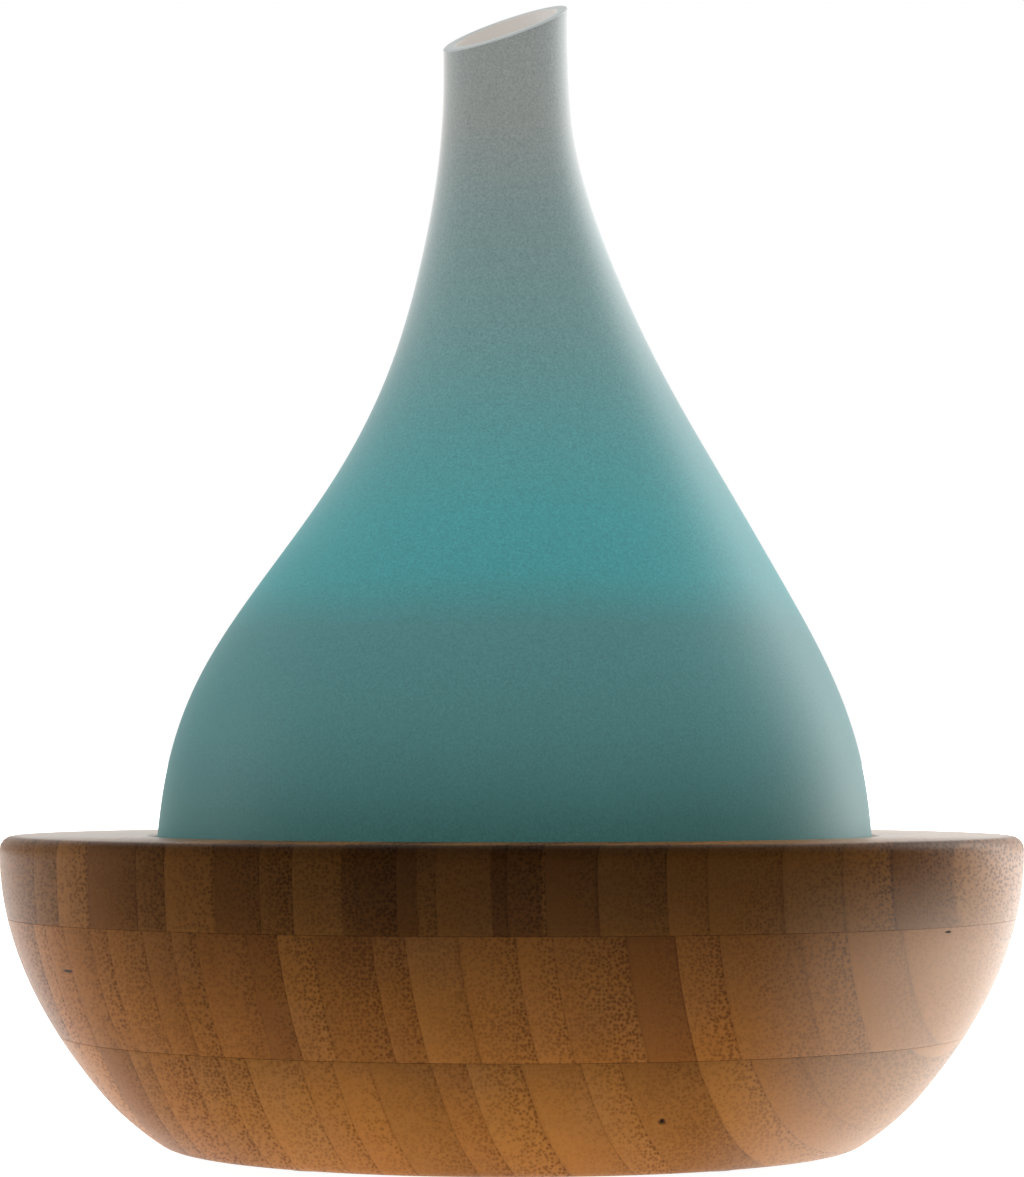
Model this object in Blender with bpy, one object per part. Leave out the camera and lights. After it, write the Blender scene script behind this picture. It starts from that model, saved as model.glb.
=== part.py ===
"""A cool mist humidifier: a laminated bamboo bowl with a frosted glass cover that draws up into a
slanted spout. A water tank hangs in the bowl, with the mist maker, lights, fan and electronics
under it, and an inner cover and the glass cover lift off it.

Metres, +Z up. The origin is on the table, under the middle of the bowl. The front faces -Y, and
the buttons and the power socket are at the back, towards +Y.
"""

import math

import bmesh
import bpy
import numpy as np
from mathutils import Matrix, Vector

# Clearances
GAP = 0.0003  # between two faces that rest on each other
SLIP = 0.0006  # round a piece that lifts out
SCREW_PLAY = 0.0003  # round a screw's shank
OVERCUT = 0.001  # how far a cutter runs past a face that it opens
EDGE_ROUNDING = 0.0006  # of small moulded edges

# Bamboo bowl
BOWL_RADIUS = 0.085
RIM_WIDTH = 0.0243
BOWL_UNDERSIDE = 0.001
BOTTOM_BOARD = 0.0188
MIDDLE_BOARD = 0.0193
TOP_BOARD = 0.0135
BELLY_DEPTH = 0.0023  # the widest level, below the rim
RIM_ROUNDING = 0.00225
OPENING_ROUNDING = 0.0005
FOOT_ROUNDING = 0.003
FOOT_LIP = 0.0048
LEDGE_DEPTH = 0.0066
LEDGE_WIDTH = 0.0052
BOWL_SEGMENTS = 48

# Glass cover
GLASS_HEIGHT = 0.1399  # from its foot to the middle of the spout's mouth
GLASS_WALL = 0.0021
GLASS_PLAY = 0.0009
SPOUT_RADIUS = 0.0103
LIP_ROUNDING = 0.0006
MOUTH_SLOPE_X = 0.368  # the mouth rises to the right and to the back
MOUTH_SLOPE_Y = 0.31
MOUTH_BLEND = 0.12  # share of the height over which the wall follows the slanted mouth
GLASS_SEGMENTS = 32
GLASS_RINGS = 11
# share of the height, share of the way from the spout's radius to the foot's, sideways lean
GLASS_PROFILE = (
    (0.0, 1.0, 0.0004),
    (0.117, 0.958, 0.0005),
    (0.224, 0.851, 0.0007),
    (0.331, 0.673, 0.0016),
    (0.445, 0.465, 0.0027),
    (0.574, 0.265, 0.0023),
    (0.717, 0.111, 0.0007),
    (0.874, 0.012, -0.0009),
    (1.0, 0.0, -0.0013),
)

# Water tank
FLANGE_PLAY = 0.0004
FLANGE_THICKNESS = 0.0017
TANK_ROOM = 0.0055
TANK_DEPTH = 0.022
TANK_WALL = 0.0018
TANK_FLOOR = 0.002
RIB_PLAY = 0.0015
RIB_WALL = 0.0016
RIB_HEIGHT = 0.0035
TANK_SEGMENTS = 36

# Inner cover
SKIRT_DEPTH = 0.0035
SKIRT_STEP = 0.0011
COVER_WALL = 0.0016
COVER_FLANGE = 0.006
COVER_FLANGE_THICKNESS = 0.0015
DOME_SPRING = 0.0137
DOME_RISE = 0.024
NOZZLE_RADIUS = 0.0105
NOZZLE_WALL = 0.0018
NOZZLE_HEIGHT = 0.004

# Air tower
TOWER_RADIUS = 0.0065
TOWER_WALL = 0.0013
TOWER_MARGIN = 0.0014
TOWER_RISE = 0.004
COLLAR_WALL = 0.0013
COLLAR_PLAY = 0.0004
COLLAR_LAP = 0.0023
DUCT_RISE = 0.004
DUCT_BASE = 0.001
DUCT_WALL = 0.0011

# Mist maker
DISC_RADIUS = 0.010
DISC_THICKNESS = 0.0009
MIST_HOLE = 0.008
SEAL_RADIUS = 0.012
SEAL_THICKNESS = 0.0035
SEAL_LIP = 0.0012
SKIRT_WALL = 0.0012
CLAMP_RADIUS = 0.0198
CLAMP_HOLE = 0.007
CLAMP_THICKNESS = 0.0017
CLAMP_CIRCLE = 0.0165
CLAMP_BOSS = 0.0026
CLAMP_SCREWS = 3
CLAMP_START = 270.0
SCREW_END = 0.001  # a screw ends this far short of its hole's end

# Lights
LED_COUNT = 6
LED_BOARD_PLAY = 0.0007
LED_BOARD_WIDTH = 0.0073
PEG_START = 30.0
LED_SIZE = 0.005
LED_HEIGHT = 0.0016
BOARD_THICKNESS = 0.0012
LED_BOARD_DROP = 0.0029  # from the tank's floor down to the board
PEG_RADIUS = 0.0012

# Water level float
FLOAT_RADIUS = 0.006
FLOAT_HEIGHT = 0.006
FLOAT_RISE = 0.010
FLOAT_MARGIN = 0.0009
FLOAT_PLAY = 0.0005
FLOAT_ROUNDING = 0.001
POST_RADIUS = 0.0024
SENSOR_RADIUS = 0.0011
SENSOR_TAIL = 0.003
CAP_RADIUS = 0.0042
CAP_THICKNESS = 0.0009
CAP_LAP = 0.0017

# Base cover, its screws and feet
COVER_RECESS = 0.0006
BASE_THICKNESS = 0.0026
BORE_MARGIN = 0.0015
REBATE_WIDTH = 0.003
MIDDLE_BORE_MARGIN = 0.008
BASE_SCREW_ANGLE = 20.0
BASE_SCREW_INSET = 0.004
BASE_BOSS = 0.0035
SCREW_SHANK = 0.0014
SCREW_HEAD = 0.003
SCREW_HEAD_HEIGHT = 0.0011
SCREW_LENGTH = 0.010
FOOT_RADIUS = 0.006
FOOT_HEIGHT = 0.0019
FOOT_INSET = 0.0115

# Fan
FAN_SIZE = 0.030
FAN_DEPTH = 0.008
FAN_WALL = 0.0008
FAN_BORE_MARGIN = 0.003
HUB_RADIUS = 0.007
HUB_WALL = 0.001
BLADE_COUNT = 7
BLADE_CHORD = 0.006
BLADE_THICKNESS = 0.0007
BLADE_PITCH = 40.0
BLADE_TIP_GAP = 0.0009
BLADE_ROOT = 0.0004  # into the hub's wall
MOTOR_PLATE = 0.0008
MOTOR_STEP = 0.0005
STRUT_HALF_WIDTH = 0.001
STRUT_LAP = 0.0004
STATOR_PLAY = 0.0004
STATOR_RAISE = 0.001
HUB_RAISE = 0.0008
HUB_RECESS = 0.0005
HUB_FACE = 0.0009
SHAFT_COVER = 0.0004
SHAFT_RADIUS = 0.00075
BEARING_WALL = 0.0008
BEARING_SHARE = 0.66  # of the fan's depth
FAN_SCREW_INSET = 0.003
FAN_SCREW_SHANK = 0.001
FAN_SCREW_HEAD = 0.0021
FAN_CORNER = 0.0015
GRILLE_PITCH = 0.004
GRILLE_SLOT = 0.002
GRILLE_MARGIN = 0.0017

# Electronics
MAIN_BOARD = (0.052, 0.030)
MAIN_BOARD_MARGIN = 0.002
MAIN_BOARD_THICKNESS = 0.0016
POST_HEIGHT = 0.0024
POST_INSET = (0.004, 0.004)
BOARD_POST = 0.0022
CAPACITOR_RADIUS = 0.004
CAPACITOR_HEIGHT = 0.0095
CAPACITOR_NECK = 0.0012
CAPACITOR_PLACE = (0.010, 0.009)  # from the main board's front left corner
INDUCTOR_RADIUS = 0.0045
INDUCTOR_HEIGHT = 0.006
INDUCTOR_WAIST = 0.0032
INDUCTOR_EDGE = 0.0012
INDUCTOR_PLACE = (0.042, 0.019)
HEAT_SINK = (0.014, 0.006, 0.010)
HEAT_SINK_PLACE = (0.028, 0.0035)
HEAT_SINK_FINS = 5
HEAT_SINK_WEB = 0.0014
HEAT_SINK_FIN = 0.0011
TRANSISTOR = (0.010, 0.0042, 0.009)

# Controls
BEZEL_SIZE = (0.0414, 0.0134)
BEZEL_CORNER = 0.003
BEZEL_FACE = 0.0025
BEZEL_WALL = 0.0012
BEZEL_RECESS = 0.0004
BUTTON_SPACING = 0.0125
BUTTON_RADIUS = 0.0042
BUTTON_FLANGE = 0.0008
BUTTON_FLANGE_DEPTH = 0.0015
BUTTON_STEM_RADIUS = 0.0021
BUTTON_STEM_LENGTH = 0.0013
BUTTON_PROUD = 0.0007
BUTTON_TRAVEL = 0.0008
SOCKET_RADIUS = 0.0046
SOCKET_BORE = 0.0031
SOCKET_PIN = 0.001
SOCKET_DEPTH = 0.009
SWITCH_BOARD = (0.036, 0.0095)
BOARD_CORNER = 0.001
TACT_SIZE = 0.006
TACT_HEIGHT = 0.0035
TACT_CORNER = 0.0004
TACT_PLUNGER = 0.0017
TACT_PLUNGER_HEIGHT = 0.0009

LEAD_RADIUS = 0.0008

# Levels and radii that follow from the sizes above
JOINT_LOW = BOWL_UNDERSIDE + BOTTOM_BOARD
JOINT_HIGH = JOINT_LOW + MIDDLE_BOARD
RIM = JOINT_HIGH + TOP_BOARD
BELLY = RIM - BELLY_DEPTH
LEDGE = RIM - LEDGE_DEPTH
OPENING_RADIUS = BOWL_RADIUS - RIM_WIDTH
TOP_BORE = OPENING_RADIUS - LEDGE_WIDTH

FLANGE_LOW = LEDGE + GAP
FLANGE_TOP = FLANGE_LOW + FLANGE_THICKNESS
FLANGE_RADIUS = OPENING_RADIUS - FLANGE_PLAY
TANK_RADIUS = TOP_BORE - TANK_ROOM
TANK_INNER = TANK_RADIUS - TANK_WALL
FLOOR_TOP = FLANGE_TOP - TANK_DEPTH
FLOOR_LOW = FLOOR_TOP - TANK_FLOOR
BOTTOM_BORE = TANK_RADIUS + BORE_MARGIN
MIDDLE_BORE = TANK_RADIUS + MIDDLE_BORE_MARGIN
REBATE_RADIUS = BOTTOM_BORE + REBATE_WIDTH
BOWL_FOOT_RADIUS = REBATE_RADIUS + FOOT_LIP

GLASS_FOOT = FLANGE_TOP + GAP
GLASS_FOOT_RADIUS = OPENING_RADIUS - GLASS_PLAY
RIB_RADIUS = GLASS_FOOT_RADIUS - GLASS_WALL - RIB_PLAY

SKIRT_RADIUS = TANK_INNER - SLIP
COVER_RADIUS = SKIRT_RADIUS - SKIRT_STEP
COVER_BORE = COVER_RADIUS - COVER_WALL
COVER_SEAT = FLANGE_TOP + GAP
NOZZLE_BORE = NOZZLE_RADIUS - NOZZLE_WALL

PLATE_LOW = BOWL_UNDERSIDE + COVER_RECESS
PLATE_TOP = PLATE_LOW + BASE_THICKNESS
REBATE_TOP = PLATE_TOP + GAP
BASE_SCREW_CIRCLE = TANK_RADIUS - BASE_SCREW_INSET
FOOT_CIRCLE = REBATE_RADIUS - FOOT_INSET

SMALL_BORE = FAN_SCREW_SHANK + SCREW_PLAY
FAN_LOW = PLATE_TOP + GAP
FAN_TOP = FAN_LOW + FAN_DEPTH
FAN_BORE = FAN_SIZE / 2 - FAN_WALL
FAN_CORNER_REACH = BOTTOM_BORE - FAN_BORE_MARGIN
FAN_Y = math.sqrt(FAN_CORNER_REACH**2 - (FAN_SIZE / 2) ** 2) - FAN_SIZE / 2
BLADE_TIP = FAN_BORE - BLADE_TIP_GAP

TOWER_Y = COVER_BORE - TOWER_MARGIN - TOWER_RADIUS
TOWER_LOW = FAN_TOP + DUCT_RISE
TOWER_TOP = FLANGE_TOP + TOWER_RISE
TOWER_BORE = TOWER_RADIUS - TOWER_WALL
COLLAR_BORE = TOWER_RADIUS + COLLAR_PLAY
COLLAR_RADIUS = COLLAR_BORE + COLLAR_WALL
DUCT_RADIUS = FAN_BORE + GAP

SEAL_TOP = FLOOR_LOW - GAP
SEAL_LOW = SEAL_TOP - SEAL_THICKNESS
CLAMP_TOP = SEAL_LOW - GAP
CLAMP_LOW = CLAMP_TOP - CLAMP_THICKNESS
LED_BOARD_INNER = CLAMP_RADIUS + LED_BOARD_PLAY
LED_BOARD_OUTER = LED_BOARD_INNER + LED_BOARD_WIDTH
LED_CIRCLE = (LED_BOARD_INNER + LED_BOARD_OUTER) / 2
LED_BOARD_TOP = FLOOR_LOW - LED_BOARD_DROP
LED_BOARD_LOW = LED_BOARD_TOP - BOARD_THICKNESS

FLOAT_X = -(COVER_BORE - FLOAT_MARGIN - FLOAT_RADIUS)
FLOAT_LOW = FLOOR_TOP + GAP
CAP_LOW = FLOAT_LOW + FLOAT_HEIGHT + FLOAT_RISE + GAP
POST_TOP = CAP_LOW + CAP_LAP
SENSOR_BORE_TOP = CAP_LOW - SENSOR_RADIUS

MAIN_BOARD_LOW = PLATE_TOP + POST_HEIGHT + GAP
MAIN_BOARD_TOP = MAIN_BOARD_LOW + MAIN_BOARD_THICKNESS
COMPONENT_LOW = MAIN_BOARD_TOP + GAP
MAIN_BOARD_FRONT = -math.sqrt((BOTTOM_BORE - MAIN_BOARD_MARGIN) ** 2 - (MAIN_BOARD[0] / 2) ** 2)
MAIN_BOARD_Y = MAIN_BOARD_FRONT + MAIN_BOARD[1] / 2

BEZEL_Z = (JOINT_LOW + JOINT_HIGH) / 2
TO_BACK = Matrix.Rotation(-math.pi / 2, 4, "X")  # turns +Z towards the back, +Y


def clear_scene():
    """Empties the scene."""
    for obj in list(bpy.data.objects):
        bpy.data.objects.remove(obj)


def spline(stations, values, at):
    """Natural cubic spline through the values at the stations, read at the given places."""
    x = np.asarray(stations, float)
    y = np.asarray(values, float)
    step = np.diff(x)
    rows = np.eye(len(x))
    right = np.zeros_like(y)
    for i in range(1, len(x) - 1):
        rows[i, i - 1 : i + 2] = step[i - 1], 2 * (step[i - 1] + step[i]), step[i]
        right[i] = 6 * ((y[i + 1] - y[i]) / step[i] - (y[i] - y[i - 1]) / step[i - 1])
    bend = np.linalg.solve(rows, right)
    at = np.atleast_1d(at)
    i = np.clip(np.searchsorted(x, at) - 1, 0, len(x) - 2)
    shape = (-1,) + (1,) * (y.ndim - 1)
    h = step[i].reshape(shape)
    a = (x[i + 1] - at).reshape(shape) / h
    b = 1 - a
    return a * y[i] + b * y[i + 1] + ((a**3 - a) * bend[i] + (b**3 - b) * bend[i + 1]) * h**2 / 6


def rounded(corners, steps=3):
    """The outline through the corners, with an arc at each corner that gives a radius."""
    points = []
    for i, corner in enumerate(corners):
        here = Vector(corner[:2])
        if len(corner) == 2:
            points.append(tuple(here))
            continue
        before = (Vector(corners[i - 1][:2]) - here).normalized()
        after = (Vector(corners[(i + 1) % len(corners)][:2]) - here).normalized()
        half = before.angle(after) / 2
        centre = here + (before + after).normalized() * (corner[2] / math.sin(half))
        start = here + before * (corner[2] / math.tan(half)) - centre
        end = here + after * (corner[2] / math.tan(half)) - centre
        sweep = math.copysign(math.pi - 2 * half, start.x * end.y - start.y * end.x)
        for k in range(steps + 1):
            points.append(tuple(centre + Matrix.Rotation(sweep * k / steps, 2) @ start))
    return points


def lathe(outline, segments):
    """An outline of (radius, height) points turned about Z. One that closes on the axis starts
    and ends there."""
    bm = bmesh.new()
    verts = [bm.verts.new((radius, 0.0, height)) for radius, height in outline]
    edges = [bm.edges.new(pair) for pair in zip(verts, verts[1:])]
    if outline[0][0] > 0:
        edges.append(bm.edges.new((verts[-1], verts[0])))
    bmesh.ops.spin(
        bm,
        geom=verts + edges,
        axis=(0, 0, 1),
        cent=(0, 0, 0),
        angle=math.tau,
        steps=segments,
        use_merge=True,
    )
    bmesh.ops.remove_doubles(bm, verts=bm.verts, dist=1e-7)
    bmesh.ops.dissolve_degenerate(bm, dist=1e-7, edges=bm.edges)
    bmesh.ops.recalc_face_normals(bm, faces=bm.faces)
    return bm


def prism(outline, low, high):
    """A flat outline of (x, y) points, raised from one height to another."""
    bm = bmesh.new()
    face = bm.faces.new([bm.verts.new((x, y, low)) for x, y in outline])
    raised = bmesh.ops.extrude_face_region(bm, geom=[face])["geom"]
    top = [item for item in raised if isinstance(item, bmesh.types.BMVert)]
    bmesh.ops.translate(bm, verts=top, vec=(0, 0, high - low))
    bmesh.ops.recalc_face_normals(bm, faces=bm.faces)
    return bm


def cylinder(radius, low, high, segments=16):
    """A plain round bar along Z."""
    return lathe([(0, low), (radius, low), (radius, high), (0, high)], segments)


def block(low, high):
    """A box between two corners."""
    (x0, y0, z0), (x1, y1, z1) = low, high
    return prism([(x0, y0), (x1, y0), (x1, y1), (x0, y1)], z0, z1)


def slab(width, depth, low, high, corner=0.0):
    """A plate centred on Z, with rounded corners where a radius is given."""
    x, y = width / 2, depth / 2
    corners = [(-x, -y), (x, -y), (x, y), (-x, y)]
    if corner:
        corners = rounded([point + (corner,) for point in corners])
    return prism(corners, low, high)


def moved(bm, x=0.0, y=0.0, z=0.0):
    """The shape at another place."""
    bm.transform(Matrix.Translation((x, y, z)))
    return bm


def turned(bm, matrix):
    """The shape after a rotation."""
    bm.transform(matrix)
    return bm


def together(shapes):
    """Several shapes that don't touch, as one mesh to cut or add with."""
    bm = bmesh.new()
    for shape in shapes:
        mesh = bpy.data.meshes.new("shape")
        shape.to_mesh(mesh)
        bm.from_mesh(mesh)
        bpy.data.meshes.remove(mesh)
    return bm


def around(count, radius, start=0.0):
    """Places evenly round the middle, as (x, y)."""
    angles = [math.radians(start) + math.tau * k / count for k in range(count)]
    return [(radius * math.cos(angle), radius * math.sin(angle)) for angle in angles]


def new_object(name, bm, location, parent):
    """An object made from a shape."""
    mesh = bpy.data.meshes.new(name)
    bm.to_mesh(mesh)
    bm.free()
    obj = bpy.data.objects.new(name, mesh)
    obj.location = location
    obj.parent = parent
    bpy.context.scene.collection.objects.link(obj)
    return obj


def finish(name, colour, roughness, metallic=0.0, alpha=1.0):
    """A plain Principled material."""
    material = bpy.data.materials.new(name)
    material.use_nodes = True
    shader = material.node_tree.nodes["Principled BSDF"]
    shader.inputs["Base Color"].default_value = (*colour, 1.0)
    shader.inputs["Roughness"].default_value = roughness
    shader.inputs["Metallic"].default_value = metallic
    shader.inputs["Alpha"].default_value = alpha
    return material


def piece(name, bm, material, location=(0, 0, 0), parent=None):
    """A named sub-part, shaded smooth between its edges."""
    obj = new_object(name, bm, location, parent)
    obj.data.materials.append(material)
    obj.data.shade_smooth()
    obj.data.set_sharp_from_angle(angle=math.radians(32))
    return obj


def change(target, label, bm, operation):
    """Adds a helper's shape to the target, or cuts it away."""
    helper = new_object(f"{target.name}_{label}", bm, (0, 0, 0), target)
    helper.hide_render = True
    helper.display_type = "WIRE"
    modifier = target.modifiers.new(label, "BOOLEAN")
    modifier.operation = operation
    modifier.solver = "EXACT"
    modifier.object = helper


def cut(target, label, bm):
    """Cuts a shape away from the target."""
    change(target, label, bm, "DIFFERENCE")


def add(target, label, bm):
    """Joins a shape to the target."""
    change(target, label, bm, "UNION")


def bowl_radius(height):
    """The bowl's outer radius: straight down from the belly, then drawn in ever faster."""
    depth = max(BELLY - height, 0.0) / (BELLY - BOWL_UNDERSIDE)
    return BOWL_RADIUS - (BOWL_RADIUS - BOWL_FOOT_RADIUS) * depth**2


def bowl_side(low, high, count):
    """Points up the bowl's outer wall."""
    return [(bowl_radius(z), z) for z in np.linspace(low, high, count)]


def make_bowl(parent):
    """The three bamboo boards, glued together and turned as one bowl."""
    bottom = rounded(
        [(REBATE_RADIUS, BOWL_UNDERSIDE), (bowl_radius(BOWL_UNDERSIDE), BOWL_UNDERSIDE, FOOT_ROUNDING)]
        + bowl_side(BOWL_UNDERSIDE, JOINT_LOW - GAP / 2, 5)[1:]
        + [
            (BOTTOM_BORE, JOINT_LOW - GAP / 2),
            (BOTTOM_BORE, REBATE_TOP),
            (REBATE_RADIUS, REBATE_TOP),
        ]
    )
    wood = finish("bamboo_bottom", (0.52, 0.29, 0.13), 0.45)
    piece("bamboo_bottom_board", lathe(bottom, BOWL_SEGMENTS), wood, parent=parent)

    middle = bowl_side(JOINT_LOW + GAP / 2, JOINT_HIGH - GAP / 2, 5)
    middle += [(MIDDLE_BORE, JOINT_HIGH - GAP / 2), (MIDDLE_BORE, JOINT_LOW + GAP / 2)]
    wood = finish("bamboo_middle", (0.36, 0.18, 0.08), 0.45)
    board = piece("bamboo_middle_board", lathe(middle, BOWL_SEGMENTS), wood, parent=parent)
    pocket = slab(BEZEL_SIZE[0] + 2 * GAP, BEZEL_SIZE[1] + 2 * GAP, 0, BOWL_RADIUS, BEZEL_CORNER + GAP)
    cut(board, "control_pocket", moved(turned(pocket, TO_BACK), z=BEZEL_Z))

    top = rounded(
        bowl_side(JOINT_HIGH + GAP / 2, BELLY, 3)
        + [
            (BOWL_RADIUS, RIM, RIM_ROUNDING),
            (OPENING_RADIUS, RIM, OPENING_ROUNDING),
            (OPENING_RADIUS, LEDGE),
            (TOP_BORE, LEDGE),
            (TOP_BORE, JOINT_HIGH + GAP / 2),
        ]
    )
    wood = finish("bamboo_top", (0.20, 0.09, 0.04), 0.4)
    piece("bamboo_top_board", lathe(top, BOWL_SEGMENTS), wood, parent=parent)


def glass_outline():
    """The glass wall's outline: up the outside, over the lip and down the inside."""
    shares, widths, _ = np.array(GLASS_PROFILE).T
    at = np.linspace(0, 1, GLASS_RINGS)
    height = at * GLASS_HEIGHT
    radius = SPOUT_RADIUS + (GLASS_FOOT_RADIUS - SPOUT_RADIUS) * spline(shares, widths, at)
    slope = np.gradient(radius, height)
    length = np.hypot(1, slope)
    inner_radius = radius - GLASS_WALL / length
    inner_height = np.clip(height + GLASS_WALL * slope / length, 0, GLASS_HEIGHT)
    inner_height[[0, -1]] = 0, GLASS_HEIGHT
    outer = [tuple(point) for point in zip(radius, height)]
    inner = [tuple(point) for point in zip(inner_radius, inner_height)]
    outer[-1] += (LIP_ROUNDING,)
    inner[-1] += (LIP_ROUNDING,)
    return rounded(outer + inner[::-1], steps=2)


def make_glass_cover(parent):
    """The frosted glass cover: turned, leaned a little as it rises, and cut on a slant."""
    shares, _, leans = np.array(GLASS_PROFILE).T
    bm = lathe(glass_outline(), GLASS_SEGMENTS)
    for vert in bm.verts:
        share = vert.co.z / GLASS_HEIGHT
        blend = max(share - 1 + MOUTH_BLEND, 0) / MOUTH_BLEND
        vert.co.z += blend * (MOUTH_SLOPE_X * vert.co.x + MOUTH_SLOPE_Y * vert.co.y)
        vert.co.x += float(spline(shares, leans, share)[0])
    glass = finish("frosted_glass", (0.16, 0.36, 0.36), 0.4, alpha=0.8)
    seat = (0, 0, GLASS_FOOT - COVER_SEAT)
    piece("glass_cover", bm, glass, seat, parent)


def make_inner_cover(parent):
    """The domed inner cover, which turns the mist up through a nozzle. Returns its object."""
    turn = np.linspace(0, math.pi / 2, 5)
    rise = COVER_RADIUS - NOZZLE_RADIUS
    outer = [(NOZZLE_RADIUS + rise * math.cos(t), DOME_SPRING + DOME_RISE * math.sin(t)) for t in turn]
    inner_rise = COVER_BORE - NOZZLE_BORE
    inner_top = DOME_RISE - COVER_WALL
    inner = [(NOZZLE_BORE + inner_rise * math.cos(t), DOME_SPRING + inner_top * math.sin(t)) for t in turn]
    nozzle_top = DOME_SPRING + DOME_RISE + NOZZLE_HEIGHT
    flange_radius = COVER_RADIUS + COVER_FLANGE
    outline = [
        (COVER_BORE, -SKIRT_DEPTH),
        (SKIRT_RADIUS, -SKIRT_DEPTH),
        (SKIRT_RADIUS, 0),
        (flange_radius, 0),
        (flange_radius, COVER_FLANGE_THICKNESS),
        (COVER_RADIUS, COVER_FLANGE_THICKNESS),
        *outer,
        (NOZZLE_RADIUS, nozzle_top),
        (NOZZLE_BORE, nozzle_top),
        *inner[::-1],
    ]
    plastic = finish("inner_cover_plastic", (0.75, 0.78, 0.77), 0.35, alpha=0.9)
    return piece("inner_cover", lathe(outline, GLASS_SEGMENTS), plastic, (0, 0, COVER_SEAT), parent)


def base_screw_places():
    """Where the base cover's screws stand, clear of the fan and the main board."""
    x = BASE_SCREW_CIRCLE * math.cos(math.radians(BASE_SCREW_ANGLE))
    y = BASE_SCREW_CIRCLE * math.sin(math.radians(BASE_SCREW_ANGLE))
    return [(x, y), (-x, y), (-x, -y), (x, -y)]


def make_tank(parent):
    """The water tank, which hangs from its flange and holds the mist maker, the lights, the
    float's post and the air tower, with a boss for each base screw."""
    outline = [
        (MIST_HOLE, FLOOR_LOW),
        (TANK_RADIUS, FLOOR_LOW),
        (TANK_RADIUS, FLANGE_LOW),
        (FLANGE_RADIUS, FLANGE_LOW),
        (FLANGE_RADIUS, FLANGE_TOP),
        (RIB_RADIUS, FLANGE_TOP),
        (RIB_RADIUS, FLANGE_TOP + RIB_HEIGHT),
        (RIB_RADIUS - RIB_WALL, FLANGE_TOP + RIB_HEIGHT),
        (RIB_RADIUS - RIB_WALL, FLANGE_TOP),
        (TANK_INNER, FLANGE_TOP),
        (TANK_INNER, FLOOR_TOP),
        (MIST_HOLE, FLOOR_TOP),
    ]
    plastic = finish("tank_plastic", (0.80, 0.82, 0.80), 0.35)
    tank = piece("water_tank", lathe(outline, TANK_SEGMENTS), plastic, parent=parent)
    into_floor = FLOOR_TOP - TANK_FLOOR / 2
    seat_skirt = [
        (SEAL_RADIUS + GAP, SEAL_LOW),
        (SEAL_RADIUS + GAP + SKIRT_WALL, SEAL_LOW),
        (SEAL_RADIUS + GAP + SKIRT_WALL, into_floor),
        (SEAL_RADIUS + GAP, into_floor),
    ]
    additions = [
        lathe(seat_skirt, 20),
        moved(cylinder(TOWER_RADIUS, TOWER_LOW, TOWER_TOP, 16), y=TOWER_Y),
        moved(cylinder(POST_RADIUS, into_floor, POST_TOP, 10), x=FLOAT_X),
    ]
    for x, y in around(CLAMP_SCREWS, CLAMP_CIRCLE, CLAMP_START):
        additions.append(moved(cylinder(CLAMP_BOSS, SEAL_LOW, into_floor, 8), x, y))
    for x, y in around(CLAMP_SCREWS, LED_CIRCLE, PEG_START):
        additions.append(moved(cylinder(PEG_RADIUS, LED_BOARD_LOW - GAP, into_floor, 6), x, y))
    for x, y in base_screw_places():
        additions.append(moved(cylinder(BASE_BOSS, PLATE_TOP + GAP, into_floor, 10), x, y))
    add(tank, "bosses", together(additions))

    bores = [
        moved(cylinder(TOWER_BORE, TOWER_LOW - OVERCUT, TOWER_TOP + OVERCUT, 12), y=TOWER_Y),
        moved(cylinder(SENSOR_RADIUS + GAP, FLOOR_LOW - OVERCUT, SENSOR_BORE_TOP, 8), x=FLOAT_X),
    ]
    for x, y in around(CLAMP_SCREWS, CLAMP_CIRCLE, CLAMP_START):
        bores.append(moved(cylinder(FAN_SCREW_SHANK + GAP, SEAL_LOW - OVERCUT, FLOOR_LOW, 8), x, y))
    for x, y in base_screw_places():
        depth = PLATE_TOP + SCREW_LENGTH
        bores.append(moved(cylinder(SCREW_SHANK + SCREW_PLAY, PLATE_TOP - OVERCUT, depth, 8), x, y))
    cut(tank, "bores", together(bores))


def screw(shank, head, head_height, length, segments=8):
    """A pan-head screw that points up, with its head below z = 0 and a hexagon socket in it."""
    outline = [
        (0, -head_height / 2),
        (head / 2, -head_height / 2),
        (head / 2, -head_height),
        (head * 0.85, -head_height),
        (head, -head_height * 0.6),
        (head, 0),
        (shank, 0),
        (shank, length * 0.88),
        (0, length),
    ]
    return lathe(outline, segments)


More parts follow.
